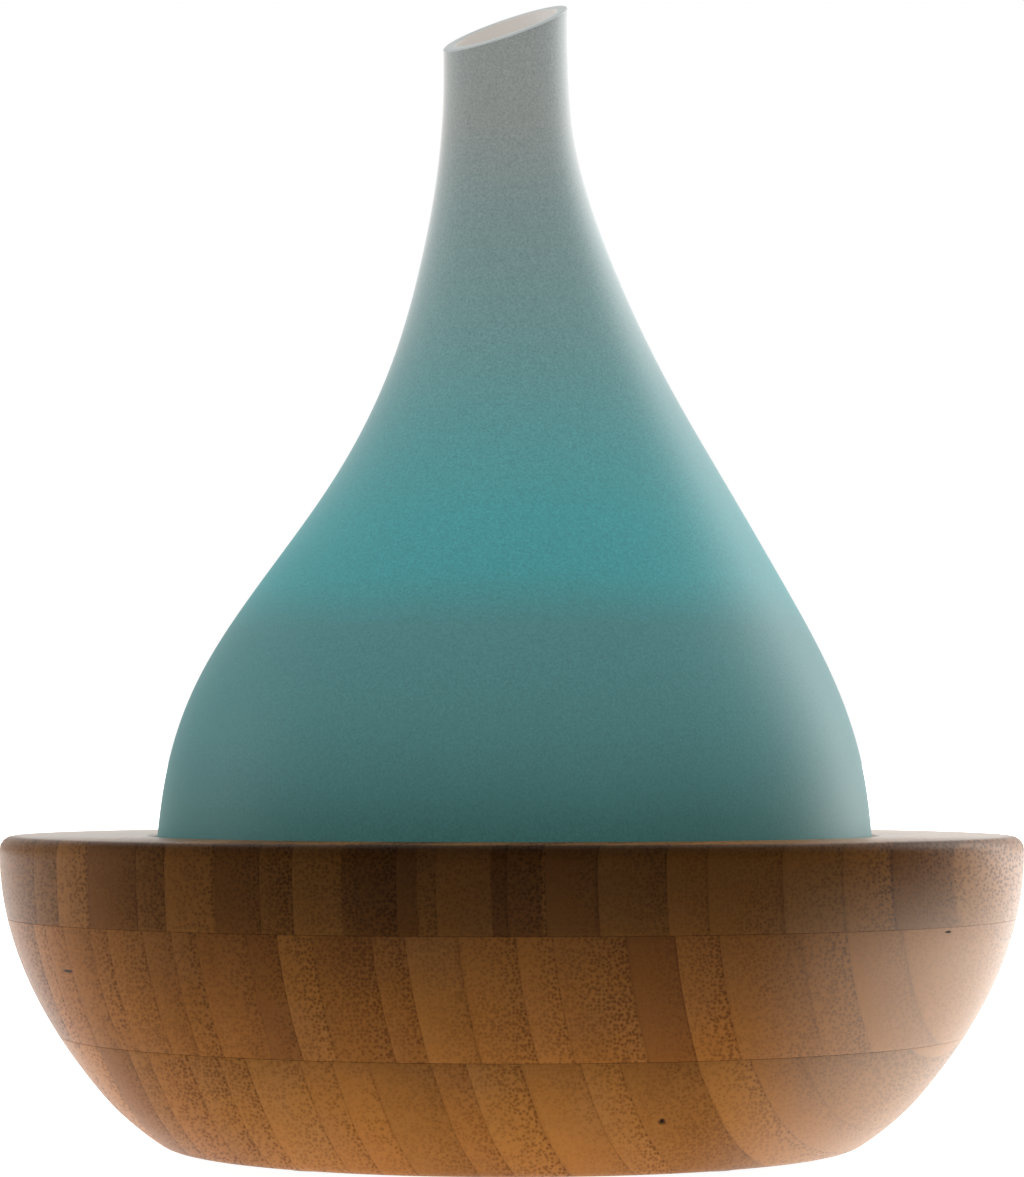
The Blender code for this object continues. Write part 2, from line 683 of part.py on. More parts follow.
def make_mist_maker(parent):
    """The ultrasonic disc in its rubber seal, held up under the tank by a plate and screws."""
    disc_low = SEAL_LOW + SEAL_LIP + GAP
    disc = cylinder(DISC_RADIUS, 0, DISC_THICKNESS, 24)
    ceramic = finish("disc_metal", (0.72, 0.70, 0.66), 0.3, metallic=0.8)
    piece("transducer_disc", disc, ceramic, (0, 0, disc_low), parent)

    groove = DISC_RADIUS + GAP
    groove_top = disc_low + DISC_THICKNESS + GAP
    outline = [
        (MIST_HOLE, SEAL_LOW),
        (SEAL_RADIUS, SEAL_LOW),
        (SEAL_RADIUS, SEAL_TOP),
        (MIST_HOLE, SEAL_TOP),
        (MIST_HOLE, groove_top),
        (groove, groove_top),
        (groove, disc_low - GAP),
        (MIST_HOLE, disc_low - GAP),
    ]
    rubber = finish("seal_rubber", (0.60, 0.60, 0.58), 0.6)
    piece("transducer_seal", lathe(outline, 20), rubber, parent=parent)

    outline = [
        (CLAMP_HOLE, CLAMP_LOW),
        (CLAMP_RADIUS, CLAMP_LOW),
        (CLAMP_RADIUS, CLAMP_TOP),
        (CLAMP_HOLE, CLAMP_TOP),
    ]
    plate = finish("clamp_plastic", (0.70, 0.71, 0.70), 0.45)
    clamp = piece("transducer_clamp", lathe(outline, 24), plate, parent=parent)
    holes = [
        moved(cylinder(SMALL_BORE, CLAMP_LOW - OVERCUT, CLAMP_TOP + OVERCUT, 8), x, y)
        for x, y in around(CLAMP_SCREWS, CLAMP_CIRCLE, CLAMP_START)
    ]
    cut(clamp, "screw_holes", together(holes))

    steel = finish("screw_steel", (0.62, 0.62, 0.63), 0.3, metallic=1.0)
    length = FLOOR_LOW - CLAMP_LOW - SCREW_END
    for number, (x, y) in enumerate(around(CLAMP_SCREWS, CLAMP_CIRCLE, CLAMP_START), 1):
        shape = screw(FAN_SCREW_SHANK, FAN_SCREW_HEAD, SCREW_HEAD_HEIGHT, length)
        piece(f"clamp_screw_{number}", shape, steel, (x, y, CLAMP_LOW - GAP), parent)


def make_lights(parent):
    """The ring-shaped light board under the tank, and its lights."""
    outline = [
        (LED_BOARD_INNER, 0),
        (LED_BOARD_OUTER, 0),
        (LED_BOARD_OUTER, BOARD_THICKNESS),
        (LED_BOARD_INNER, BOARD_THICKNESS),
    ]
    material = finish("light_board_laminate", (0.75, 0.76, 0.74), 0.5)
    board = piece("led_board", lathe(outline, 28), material, (0, 0, LED_BOARD_LOW), parent)
    holes = [
        moved(cylinder(PEG_RADIUS + GAP, -OVERCUT, BOARD_THICKNESS + OVERCUT, 6), x, y)
        for x, y in around(CLAMP_SCREWS, LED_CIRCLE, PEG_START)
    ]
    cut(board, "peg_holes", together(holes))
    notch = cylinder(COLLAR_RADIUS + SLIP, -OVERCUT, BOARD_THICKNESS + OVERCUT, 16)
    cut(board, "tower_notch", moved(notch, y=TOWER_Y))
    for number, (x, y) in enumerate(around(LED_COUNT, LED_CIRCLE), 1):
        lamp = finish(f"led_{number}_resin", (0.85, 0.82, 0.60), 0.3)
        place = (x, y, LED_BOARD_TOP + GAP)
        shape = slab(LED_SIZE, LED_SIZE, 0, LED_HEIGHT, EDGE_ROUNDING)
        piece(f"led_{number}", shape, lamp, place, parent)


def make_level_sensor(parent):
    """The float on its post, its cap, and the reed sensor inside the post."""
    bore = POST_RADIUS + FLOAT_PLAY
    outline = [
        (bore, 0),
        (FLOAT_RADIUS, 0, FLOAT_ROUNDING),
        (FLOAT_RADIUS, FLOAT_HEIGHT, FLOAT_ROUNDING),
        (bore, FLOAT_HEIGHT),
    ]
    foam = finish("float_plastic", (0.80, 0.80, 0.78), 0.5)
    piece("water_level_float", lathe(rounded(outline, 1), 16), foam, (FLOAT_X, 0, FLOAT_LOW), parent)

    ceiling = POST_TOP - CAP_LOW + GAP
    outline = [
        (0, ceiling),
        (POST_RADIUS + GAP, ceiling),
        (POST_RADIUS + GAP, 0),
        (CAP_RADIUS, 0),
        (CAP_RADIUS, ceiling + CAP_THICKNESS),
        (0, ceiling + CAP_THICKNESS),
    ]
    cap = finish("float_cap_plastic", (0.78, 0.79, 0.78), 0.45)
    piece("float_cap", lathe(outline, 14), cap, (FLOAT_X, 0, CAP_LOW), parent)

    tube = finish("sensor_glass", (0.10, 0.16, 0.12), 0.3)
    sensor_low = FLOOR_LOW - SENSOR_TAIL
    sensor = cylinder(SENSOR_RADIUS, 0, SENSOR_BORE_TOP - OVERCUT - sensor_low, 10)
    piece("level_sensor", sensor, tube, (FLOAT_X, 0, sensor_low), parent)


def make_base(parent):
    """The base cover with its intake grille, its screws and its rubber feet."""
    plate_radius = REBATE_RADIUS - GAP
    plate = lathe([(0, PLATE_LOW), (plate_radius, PLATE_LOW), (plate_radius, PLATE_TOP), (0, PLATE_TOP)], 36)
    plastic = finish("base_plastic", (0.06, 0.06, 0.06), 0.5)
    cover = piece("base_cover", plate, plastic, parent=parent)
    posts = []
    for side_x in (-1, 1):
        for side_y in (-1, 1):
            x = side_x * (MAIN_BOARD[0] / 2 - POST_INSET[0])
            y = MAIN_BOARD_Y + side_y * (MAIN_BOARD[1] / 2 - POST_INSET[1])
            post = cylinder(BOARD_POST, PLATE_TOP - OVERCUT, PLATE_TOP + POST_HEIGHT, 8)
            posts.append(moved(post, x, y))
    add(cover, "board_posts", together(posts))

    cuts = []
    for x, y in around(4, FOOT_CIRCLE, 45):
        seat = cylinder(FOOT_RADIUS + GAP, PLATE_LOW - OVERCUT, FOOT_HEIGHT + GAP, 16)
        cuts.append(moved(seat, x, y))
    bore = SCREW_SHANK + SCREW_PLAY
    head = SCREW_HEAD + SCREW_PLAY
    head_seat = PLATE_LOW + GAP + SCREW_HEAD_HEIGHT
    below = PLATE_LOW - OVERCUT
    above = PLATE_TOP + OVERCUT
    for x, y in base_screw_places():
        stepped = [(0, below), (head, below), (head, head_seat + GAP), (bore, head_seat + GAP)]
        stepped += [(bore, above), (0, above)]
        cuts.append(moved(lathe(stepped, 10), x, y))
    for x, y in fan_screw_places():
        cuts.append(moved(cylinder(SMALL_BORE, below, above, 8), x, y))
    grille_radius = FAN_BORE - GRILLE_MARGIN
    lines = int(grille_radius / GRILLE_PITCH)
    for line in range(-lines, lines + 1):
        x = line * GRILLE_PITCH
        half = math.sqrt(grille_radius**2 - x**2)
        slot = block((-GRILLE_SLOT / 2, -half, below), (GRILLE_SLOT / 2, half, above))
        cuts.append(moved(slot, x, FAN_Y))
    cut(cover, "openings", together(cuts))

    steel = finish("base_screw_steel", (0.55, 0.55, 0.56), 0.3, metallic=1.0)
    length = PLATE_TOP + SCREW_LENGTH - head_seat - SCREW_END
    for number, (x, y) in enumerate(base_screw_places(), 1):
        shape = screw(SCREW_SHANK, SCREW_HEAD, SCREW_HEAD_HEIGHT, length)
        piece(f"base_screw_{number}", shape, steel, (x, y, head_seat), parent)
    rubber = finish("foot_rubber", (0.05, 0.05, 0.05), 0.8)
    for number, (x, y) in enumerate(around(4, FOOT_CIRCLE, 45), 1):
        lower_edge = (FOOT_RADIUS, 0, EDGE_ROUNDING)
        outline = rounded([(0, 0), lower_edge, (FOOT_RADIUS, FOOT_HEIGHT), (0, FOOT_HEIGHT)], 1)
        piece(f"foot_{number}", lathe(outline, 16), rubber, (x, y, 0), parent)


def fan_screw_places():
    """Two opposite corners of the fan."""
    reach = FAN_SIZE / 2 - FAN_SCREW_INSET
    return [(reach, FAN_Y + reach), (-reach, FAN_Y - reach)]


def make_fan(parent):
    """The axial fan: housing, stator, bearing, and the impeller on its shaft."""
    black = finish("fan_plastic", (0.03, 0.03, 0.03), 0.5)
    frame = slab(FAN_SIZE, FAN_SIZE, 0, FAN_DEPTH, FAN_CORNER)
    housing = piece("fan_housing", frame, black, (0, FAN_Y, FAN_LOW), parent)
    cut(housing, "bore", cylinder(FAN_BORE, -OVERCUT, FAN_DEPTH + OVERCUT, 24))

    bearing_radius = SHAFT_RADIUS + GAP + BEARING_WALL
    tube_bore = bearing_radius + GAP
    tube_radius = tube_bore + BEARING_WALL
    motor_radius = HUB_RADIUS - MOTOR_STEP
    tube_top = FAN_DEPTH * BEARING_SHARE
    motor = [
        (0, 0),
        (motor_radius, 0),
        (motor_radius, MOTOR_PLATE),
        (tube_radius, MOTOR_PLATE),
        (tube_radius, tube_top),
        (tube_bore, tube_top),
        (tube_bore, MOTOR_PLATE),
        (0, MOTOR_PLATE),
    ]
    add(housing, "motor_plate", lathe(motor, 16))
    for number, angle in enumerate((90, 210, 330), 1):
        start = (motor_radius - OVERCUT, -STRUT_HALF_WIDTH, 0)
        strut = block(start, (FAN_BORE + STRUT_LAP, STRUT_HALF_WIDTH, MOTOR_PLATE))
        add(housing, f"strut_{number}", turned(strut, Matrix.Rotation(math.radians(angle), 4, "Z")))
    holes = []
    for x, y in fan_screw_places():
        hole = cylinder(SMALL_BORE, -OVERCUT, FAN_DEPTH + OVERCUT, 8)
        holes.append(moved(hole, x, y - FAN_Y))
    cut(housing, "screw_holes", together(holes))

    outline = [
        (SHAFT_RADIUS + GAP, 0),
        (bearing_radius, 0),
        (bearing_radius, tube_top - MOTOR_PLATE - GAP),
        (SHAFT_RADIUS + GAP, tube_top - MOTOR_PLATE - GAP),
    ]
    bronze = finish("bearing_bronze", (0.60, 0.40, 0.20), 0.4, metallic=1.0)
    piece("fan_bearing", lathe(outline, 12), bronze, (0, FAN_Y, FAN_LOW + MOTOR_PLATE + GAP), parent)

    hub_bore = HUB_RADIUS - HUB_WALL
    stator_low = MOTOR_PLATE + STATOR_RAISE
    stator_top = tube_top - STATOR_RAISE / 2
    outline = [
        (tube_radius + GAP, stator_low),
        (hub_bore - STATOR_PLAY, stator_low, EDGE_ROUNDING),
        (hub_bore - STATOR_PLAY, stator_top, EDGE_ROUNDING),
        (tube_radius + GAP, stator_top),
    ]
    copper = finish("stator_copper", (0.55, 0.25, 0.12), 0.4, metallic=0.8)
    piece("fan_stator", lathe(rounded(outline, 1), 16), copper, (0, FAN_Y, FAN_LOW), parent)

    hub_low = MOTOR_PLATE + HUB_RAISE
    hub_top = FAN_DEPTH - HUB_RECESS
    ceiling = hub_top - HUB_FACE
    boss_low = tube_top + GAP
    shaft_hole = hub_top - SHAFT_COVER
    outline = [
        (0, shaft_hole),
        (SHAFT_RADIUS + GAP, shaft_hole),
        (SHAFT_RADIUS + GAP, boss_low),
        (bearing_radius, boss_low),
        (bearing_radius, ceiling),
        (hub_bore, ceiling),
        (hub_bore, hub_low),
        (HUB_RADIUS, hub_low),
        (HUB_RADIUS, hub_top, EDGE_ROUNDING),
        (0, hub_top),
    ]
    rotor = finish("impeller_plastic", (0.04, 0.04, 0.045), 0.4)
    impeller = piece("fan_impeller", lathe(rounded(outline, 1), 20), rotor, (0, FAN_Y, FAN_LOW), parent)
    blades = []
    middle = (hub_low + hub_top) / 2
    for k in range(BLADE_COUNT):
        half = (BLADE_CHORD / 2, BLADE_THICKNESS / 2)
        blade = block((hub_bore + BLADE_ROOT, -half[0], -half[1]), (BLADE_TIP, half[0], half[1]))
        turned(blade, Matrix.Rotation(math.radians(BLADE_PITCH), 4, "X"))
        moved(blade, z=middle)
        blades.append(turned(blade, Matrix.Rotation(math.tau * k / BLADE_COUNT, 4, "Z")))
    add(impeller, "blades", together(blades))

    steel = finish("shaft_steel", (0.60, 0.60, 0.61), 0.25, metallic=1.0)
    shaft_low = MOTOR_PLATE + GAP
    shaft = cylinder(SHAFT_RADIUS, shaft_low, shaft_hole - GAP, 12)
    piece("fan_shaft", shaft, steel, (0, 0, 0), impeller)

    screw_steel = finish("fan_screw_steel", (0.62, 0.62, 0.63), 0.3, metallic=1.0)
    upside_down = Matrix.Rotation(math.pi, 4, "X")
    for number, (x, y) in enumerate(fan_screw_places(), 1):
        length = FAN_DEPTH + BASE_THICKNESS - GAP
        shape = turned(screw(FAN_SCREW_SHANK, FAN_SCREW_HEAD, SCREW_HEAD_HEIGHT, length), upside_down)
        piece(f"fan_screw_{number}", shape, screw_steel, (x, y, FAN_TOP + GAP), parent)


def make_air_duct(parent):
    """The duct that gathers the fan's air into the tank's air tower, lofted between the rings."""
    low = FAN_TOP + GAP
    bend = low + DUCT_BASE
    shoulder = TOWER_LOW - SLIP
    top = TOWER_LOW + COLLAR_LAP
    rings = [
        (FAN_Y, DUCT_RADIUS, low),
        (FAN_Y, DUCT_RADIUS, bend),
        (TOWER_Y, COLLAR_RADIUS, shoulder),
        (TOWER_Y, COLLAR_RADIUS, top),
        (TOWER_Y, COLLAR_BORE, top),
        (TOWER_Y, COLLAR_BORE, shoulder - DUCT_WALL / 2),
        (FAN_Y, DUCT_RADIUS - DUCT_WALL, bend - DUCT_WALL / 2),
        (FAN_Y, DUCT_RADIUS - DUCT_WALL, low),
    ]
    bm = bmesh.new()
    loops = []
    for centre, radius, height in rings:
        places = around(20, radius)
        loops.append([bm.verts.new((x, centre + y, height)) for x, y in places])
    for lower, upper in zip(loops, loops[1:] + loops[:1]):
        for i in range(len(lower)):
            bm.faces.new((lower[i - 1], lower[i], upper[i], upper[i - 1]))
    bmesh.ops.recalc_face_normals(bm, faces=bm.faces)
    plastic = finish("duct_plastic", (0.65, 0.66, 0.65), 0.5)
    piece("air_duct", bm, plastic, parent=parent)


def make_electronics(parent):
    """The main board on the base cover, and what stands on it."""
    laminate = finish("main_board_laminate", (0.02, 0.16, 0.07), 0.5)
    plate = slab(*MAIN_BOARD, 0, MAIN_BOARD_THICKNESS, BOARD_CORNER)
    piece("main_board", plate, laminate, (0, MAIN_BOARD_Y, MAIN_BOARD_LOW), parent)

    outline = [
        (0, 0),
        (CAPACITOR_RADIUS - EDGE_ROUNDING, 0),
        (CAPACITOR_RADIUS, CAPACITOR_NECK),
        (CAPACITOR_RADIUS, CAPACITOR_HEIGHT, EDGE_ROUNDING),
        (0, CAPACITOR_HEIGHT),
    ]
    can = finish("capacitor_sleeve", (0.05, 0.07, 0.16), 0.35)
    x = CAPACITOR_PLACE[0] - MAIN_BOARD[0] / 2
    y = CAPACITOR_PLACE[1] + MAIN_BOARD_FRONT
    piece("capacitor", lathe(rounded(outline, 1), 16), can, (x, y, COMPONENT_LOW), parent)

    waist = INDUCTOR_WAIST
    edge = INDUCTOR_EDGE
    outline = [
        (0, 0),
        (INDUCTOR_RADIUS, 0),
        (INDUCTOR_RADIUS, edge),
        (waist, edge),
        (waist, INDUCTOR_HEIGHT - edge),
        (INDUCTOR_RADIUS, INDUCTOR_HEIGHT - edge),
        (INDUCTOR_RADIUS, INDUCTOR_HEIGHT),
        (0, INDUCTOR_HEIGHT),
    ]
    ferrite = finish("inductor_ferrite", (0.06, 0.06, 0.065), 0.6)
    x = INDUCTOR_PLACE[0] - MAIN_BOARD[0] / 2
    y = INDUCTOR_PLACE[1] + MAIN_BOARD_FRONT
    piece("inductor", lathe(outline, 14), ferrite, (x, y, COMPONENT_LOW), parent)

    width, depth, height = HEAT_SINK
    pitch = (width - HEAT_SINK_FIN) / (HEAT_SINK_FINS - 1)
    comb = [(0, depth - HEAT_SINK_WEB)]
    for fin in range(HEAT_SINK_FINS):
        left = fin * pitch
        comb += [(left, depth - HEAT_SINK_WEB), (left, 0), (left + HEAT_SINK_FIN, 0)]
        comb += [(left + HEAT_SINK_FIN, depth - HEAT_SINK_WEB)]
    comb = comb[1:-1] + [(width, depth), (0, depth)]
    aluminium = finish("heat_sink_aluminium", (0.55, 0.56, 0.57), 0.4, metallic=1.0)
    sink_x = HEAT_SINK_PLACE[0] - MAIN_BOARD[0] / 2
    sink_y = HEAT_SINK_PLACE[1] + MAIN_BOARD_FRONT
    piece("heat_sink", prism(comb, 0, height), aluminium, (sink_x, sink_y, COMPONENT_LOW), parent)

    epoxy = finish("transistor_epoxy", (0.03, 0.03, 0.03), 0.45)
    place = (sink_x + width / 2, sink_y + depth + GAP + TRANSISTOR[1] / 2, COMPONENT_LOW)
    body = slab(TRANSISTOR[0], TRANSISTOR[1], 0, TRANSISTOR[2], EDGE_ROUNDING)
    piece("power_transistor", body, epoxy, place, parent)


def bezel_face():
    """How far back the control face lies: just inside the bowl at the pocket's lowest corner."""
    half = BEZEL_SIZE[0] / 2 + GAP
    lowest = bowl_radius(BEZEL_Z - BEZEL_SIZE[1] / 2)
    return math.sqrt(lowest**2 - half**2) - BEZEL_RECESS


def make_controls(parent):
    """The control bezel at the back, the two buttons, the power socket and their board. Each
    piece is turned about the line that it is pressed or plugged along."""
    face = bezel_face()
    inner = face - BEZEL_FACE
    rear = MIDDLE_BORE + GAP
    satin = finish("bezel_plastic", (0.05, 0.045, 0.04), 0.45)
    shell = slab(*BEZEL_SIZE, rear, face, BEZEL_CORNER)
    bezel = piece("control_bezel", turned(shell, TO_BACK), satin, (0, 0, BEZEL_Z), parent)
    hollow_size = (BEZEL_SIZE[0] - 2 * BEZEL_WALL, BEZEL_SIZE[1] - 2 * BEZEL_WALL)
    hollow = slab(*hollow_size, rear - OVERCUT, inner, BEZEL_CORNER - BEZEL_WALL)
    cut(bezel, "hollow", turned(hollow, TO_BACK))
    holes = [turned(cylinder(SOCKET_RADIUS + GAP, inner - OVERCUT, face + OVERCUT, 18), TO_BACK)]
    for side in (-1, 1):
        hole = turned(cylinder(BUTTON_RADIUS + GAP, inner - OVERCUT, face + OVERCUT, 16), TO_BACK)
        holes.append(moved(hole, x=side * BUTTON_SPACING))
    cut(bezel, "holes", together(holes))

    # Behind the face, from back to front: flange, stem, plunger, switch, board.
    flange = BUTTON_RADIUS + BUTTON_FLANGE
    flange_front = inner - GAP
    flange_back = flange_front - BUTTON_FLANGE_DEPTH
    stem_back = flange_back - BUTTON_STEM_LENGTH
    plunger_front = stem_back - BUTTON_TRAVEL - GAP
    switch_front = plunger_front - TACT_PLUNGER_HEIGHT
    switch_back = switch_front - TACT_HEIGHT
    board_front = switch_back - GAP
    outline = [
        (0, stem_back),
        (BUTTON_STEM_RADIUS, stem_back),
        (BUTTON_STEM_RADIUS, flange_back),
        (flange, flange_back),
        (flange, flange_front),
        (BUTTON_RADIUS, flange_front),
        (BUTTON_RADIUS, face + BUTTON_PROUD, EDGE_ROUNDING),
        (0, face + BUTTON_PROUD),
    ]
    for name, side in (("mist_button", -1), ("light_button", 1)):
        cap = finish(f"{name}_plastic", (0.70, 0.70, 0.69), 0.4)
        shape = turned(lathe(rounded(outline, 1), 16), TO_BACK)
        piece(name, shape, cap, (side * BUTTON_SPACING, 0, BEZEL_Z), parent)

    laminate = finish("switch_board_laminate", (0.02, 0.16, 0.07), 0.5)
    plate = slab(*SWITCH_BOARD, board_front - BOARD_THICKNESS, board_front, BOARD_CORNER)
    piece("switch_board", turned(plate, TO_BACK), laminate, (0, 0, BEZEL_Z), parent)

    for number, side in enumerate((-1, 1), 1):
        tin = finish(f"tact_switch_{number}_body", (0.08, 0.08, 0.085), 0.4)
        body = slab(TACT_SIZE, TACT_SIZE, switch_back, switch_front, TACT_CORNER)
        place = (side * BUTTON_SPACING, 0, BEZEL_Z)
        switch = piece(f"tact_switch_{number}", turned(body, TO_BACK), tin, place, parent)
        plunger = cylinder(TACT_PLUNGER, switch_front - OVERCUT, plunger_front, 8)
        add(switch, "plunger", turned(plunger, TO_BACK))

    back = board_front + GAP
    mouth = face - GAP
    outline = [
        (0, back),
        (SOCKET_RADIUS, back),
        (SOCKET_RADIUS, mouth),
        (SOCKET_BORE, mouth),
        (SOCKET_BORE, mouth - SOCKET_DEPTH),
        (SOCKET_PIN, mouth - SOCKET_DEPTH),
        (SOCKET_PIN, mouth - SOCKET_PIN),
        (0, mouth - SOCKET_PIN / 2),
    ]
    black = finish("socket_plastic", (0.02, 0.02, 0.02), 0.4)
    piece("power_socket", turned(lathe(outline, 18), TO_BACK), black, (0, 0, BEZEL_Z), parent)
    return board_front - BOARD_THICKNESS


def make_lead(name, route, colour, parent):
    """A flexible lead along a smooth curve through the route's points."""
    points = np.array(route, float)
    along = np.concatenate([[0], np.cumsum(np.linalg.norm(np.diff(points, axis=0), axis=1))])
    count = max(int(along[-1] / (LEAD_RADIUS * 6)), 6)
    smooth = spline(along, points, np.linspace(0, along[-1], count))
    curve = bpy.data.curves.new(name, "CURVE")
    curve.dimensions = "3D"
    curve.bevel_depth = LEAD_RADIUS
    curve.bevel_resolution = 1
    curve.use_fill_caps = True
    line = curve.splines.new("POLY")
    line.points.add(count - 1)
    for point, place in zip(line.points, smooth):
        point.co = (*place, 1)
    curve.materials.append(finish(f"{name}_sheath", colour, 0.5))
    obj = bpy.data.objects.new(name, curve)
    obj.parent = parent
    bpy.context.scene.collection.objects.link(obj)


def make_leads(switch_board_back, parent):
    """The leads between the main board and the mist maker, the fan and the switch board."""
    board_top = MAIN_BOARD_TOP + GAP + LEAD_RADIUS * 0.7
    board_back = MAIN_BOARD_FRONT + MAIN_BOARD[1]
    disc_low = SEAL_LOW + SEAL_LIP
    transducer_route = [
        (0, 0, disc_low),
        (0, -0.0005, disc_low - 0.005),
        (-0.002, -0.006, disc_low - 0.009),
        (-0.004, board_back - 0.003, board_top + 0.0035),
        (-0.004, board_back - 0.005, board_top),
    ]
    make_lead("transducer_lead", transducer_route, (0.5, 0.04, 0.03), parent)
    fan_side = FAN_Y - FAN_SIZE / 2 - GAP
    fan_route = [
        (0.008, fan_side, FAN_LOW + FAN_DEPTH / 2),
        (0.008, fan_side - 0.006, FAN_LOW + FAN_DEPTH / 2),
        (0.006, 0.0, board_top + 0.0025),
        (0.004, board_back - 0.0035, board_top + 0.002),
        (0.004, board_back - 0.005, board_top),
    ]
    make_lead("fan_lead", fan_route, (0.03, 0.03, 0.03), parent)
    wall = TANK_RADIUS + (MIDDLE_BORE - TANK_RADIUS) / 2
    over = BOTTOM_BORE - 0.0035
    side = (math.sin(math.radians(32)), math.cos(math.radians(32)))
    beside_screw = base_screw_places()[0][0] - 0.0095
    power_route = [
        (0.012, switch_board_back - GAP, BEZEL_Z - 0.002),
        (0.0135, MIDDLE_BORE - 0.0005, BEZEL_Z - 0.003),
        (wall * side[0], wall * side[1] + 0.001, JOINT_LOW + 0.0045),
        (over * side[0], over * side[1], JOINT_LOW - 0.001),
        (beside_screw, 0.028, JOINT_LOW - 0.008),
        (beside_screw, 0.004, MAIN_BOARD_TOP + 0.004),
        (0.025, board_back + 0.003, board_top + 0.003),
        (0.021, board_back - 0.0025, board_top),
    ]
    make_lead("power_lead", power_route, (0.03, 0.03, 0.03), parent)


def main():
    """Builds the humidifier under one empty."""
    clear_scene()
    humidifier = bpy.data.objects.new("humidifier", None)
    bpy.context.scene.collection.objects.link(humidifier)
    make_bowl(humidifier)
    make_tank(humidifier)
    make_glass_cover(make_inner_cover(humidifier))
    make_mist_maker(humidifier)
    make_lights(humidifier)
    make_level_sensor(humidifier)
    make_base(humidifier)
    make_fan(humidifier)
    make_air_duct(humidifier)
    make_electronics(humidifier)
    make_leads(make_controls(humidifier), humidifier)


main()
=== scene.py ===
"""The looks of a cool mist humidifier: a turned bowl of laminated bamboo with a frosted glass
cover, and the inner cover, tank, mist maker, lights, fan and controls inside it.

Metres, +Z up, front at -Y and controls at +Y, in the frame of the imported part. Each sub-assembly
is a class that holds its sizes, builds its meshes round the part's nodes and dresses them.
"""

import logging
import math
from dataclasses import dataclass, field
from enum import Enum
from typing import Any, Callable, Iterable, Sequence

import bmesh
import bpy
import numpy as np
from mathutils import Matrix, Vector


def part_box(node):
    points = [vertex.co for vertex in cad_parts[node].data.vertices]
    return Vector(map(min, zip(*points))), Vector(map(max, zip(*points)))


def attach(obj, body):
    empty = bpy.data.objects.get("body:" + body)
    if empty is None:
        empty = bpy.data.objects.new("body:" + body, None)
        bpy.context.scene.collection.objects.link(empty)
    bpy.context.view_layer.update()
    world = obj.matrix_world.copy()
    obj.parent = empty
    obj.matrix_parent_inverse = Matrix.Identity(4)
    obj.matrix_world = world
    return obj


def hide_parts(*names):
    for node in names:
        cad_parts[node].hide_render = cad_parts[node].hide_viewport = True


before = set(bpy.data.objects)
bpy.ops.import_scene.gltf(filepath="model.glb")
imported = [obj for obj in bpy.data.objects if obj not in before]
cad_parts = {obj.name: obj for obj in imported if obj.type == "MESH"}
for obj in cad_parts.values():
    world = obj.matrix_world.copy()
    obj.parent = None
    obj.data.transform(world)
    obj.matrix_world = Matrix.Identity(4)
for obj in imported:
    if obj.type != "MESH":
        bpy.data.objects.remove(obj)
LOG = logging.getLogger("humidifier")

Mesh = bpy.types.Mesh
Node = bpy.types.Node
Socket = bpy.types.NodeSocket
Outline = Sequence[tuple[float, ...]]  # radius and height, with a rounding where there is one
Colour = tuple[float, float, float]
Place = tuple[float, float, float]
Stops = tuple[tuple[float, Colour], ...]
Settings = dict[str, Any] | None
Inputs = dict[Any, Any] | None
TO_BACK = Matrix.Rotation(-math.pi / 2, 4, "X")  # turns +Z towards the back, +Y
WELD = 2e-6  # points closer than this become one
SHARP = math.radians(35)  # edges sharper than this aren't shaded smooth
STRAIGHT = math.radians(89)  # half the angle past which a corner needs no rounding


# ------------------------------------------------------------------------------ node graphs


def operator(name: str, swapped: bool = False) -> Callable[["Value", Any], "Value"]:
    """Makes an operator that adds a Math node.

    Args:
        name: The node's operation.
        swapped: Whether the other number comes first.

    Returns:
        The operator's method.
    """

    def apply(value: "Value", other: Any) -> "Value":
        """The operation's result."""
        return value.graph.maths(name, *((other, value) if swapped else (value, other)))

    return apply


def measure(name: str) -> Callable[["Value"], "Value"]:
    """A method that works out a Math node of one value."""
    return lambda value: value.graph.maths(name, value)


class Value:
    """A number's socket in arithmetic: each operator adds a Math node and gives its result."""

    def __init__(self, graph: "Graph", source: Socket) -> None:
        """Wraps a socket.

        Args:
            graph: The graph that the socket belongs to.
            source: The output socket.
        """
        self.graph = graph
        self.source = source

    __add__ = __radd__ = operator("ADD")
    __mul__ = __rmul__ = operator("MULTIPLY")
    __sub__ = operator("SUBTRACT")
    __rsub__ = operator("SUBTRACT", swapped=True)
    __truediv__ = operator("DIVIDE")
    __rtruediv__ = operator("DIVIDE", swapped=True)
    __pow__ = operator("POWER")
    __gt__ = operator("GREATER_THAN")
    whole = measure("FLOOR")
    part = measure("FRACT")
    sine = measure("SINE")
    cosine = measure("COSINE")
    root = measure("SQRT")
    size = measure("ABSOLUTE")

    def ramp(self, low: float, high: float) -> "Value":
        """A smooth step.

        Args:
            low: Where the step starts, at zero.
            high: Where it ends, at one; it may lie below the start.

        Returns:
            The step's height at this value.
        """
        values = {"Value": self, "From Min": low, "From Max": high}
        settings = {"interpolation_type": "SMOOTHSTEP"}
        return self.graph.value("ShaderNodeMapRange", settings, values)


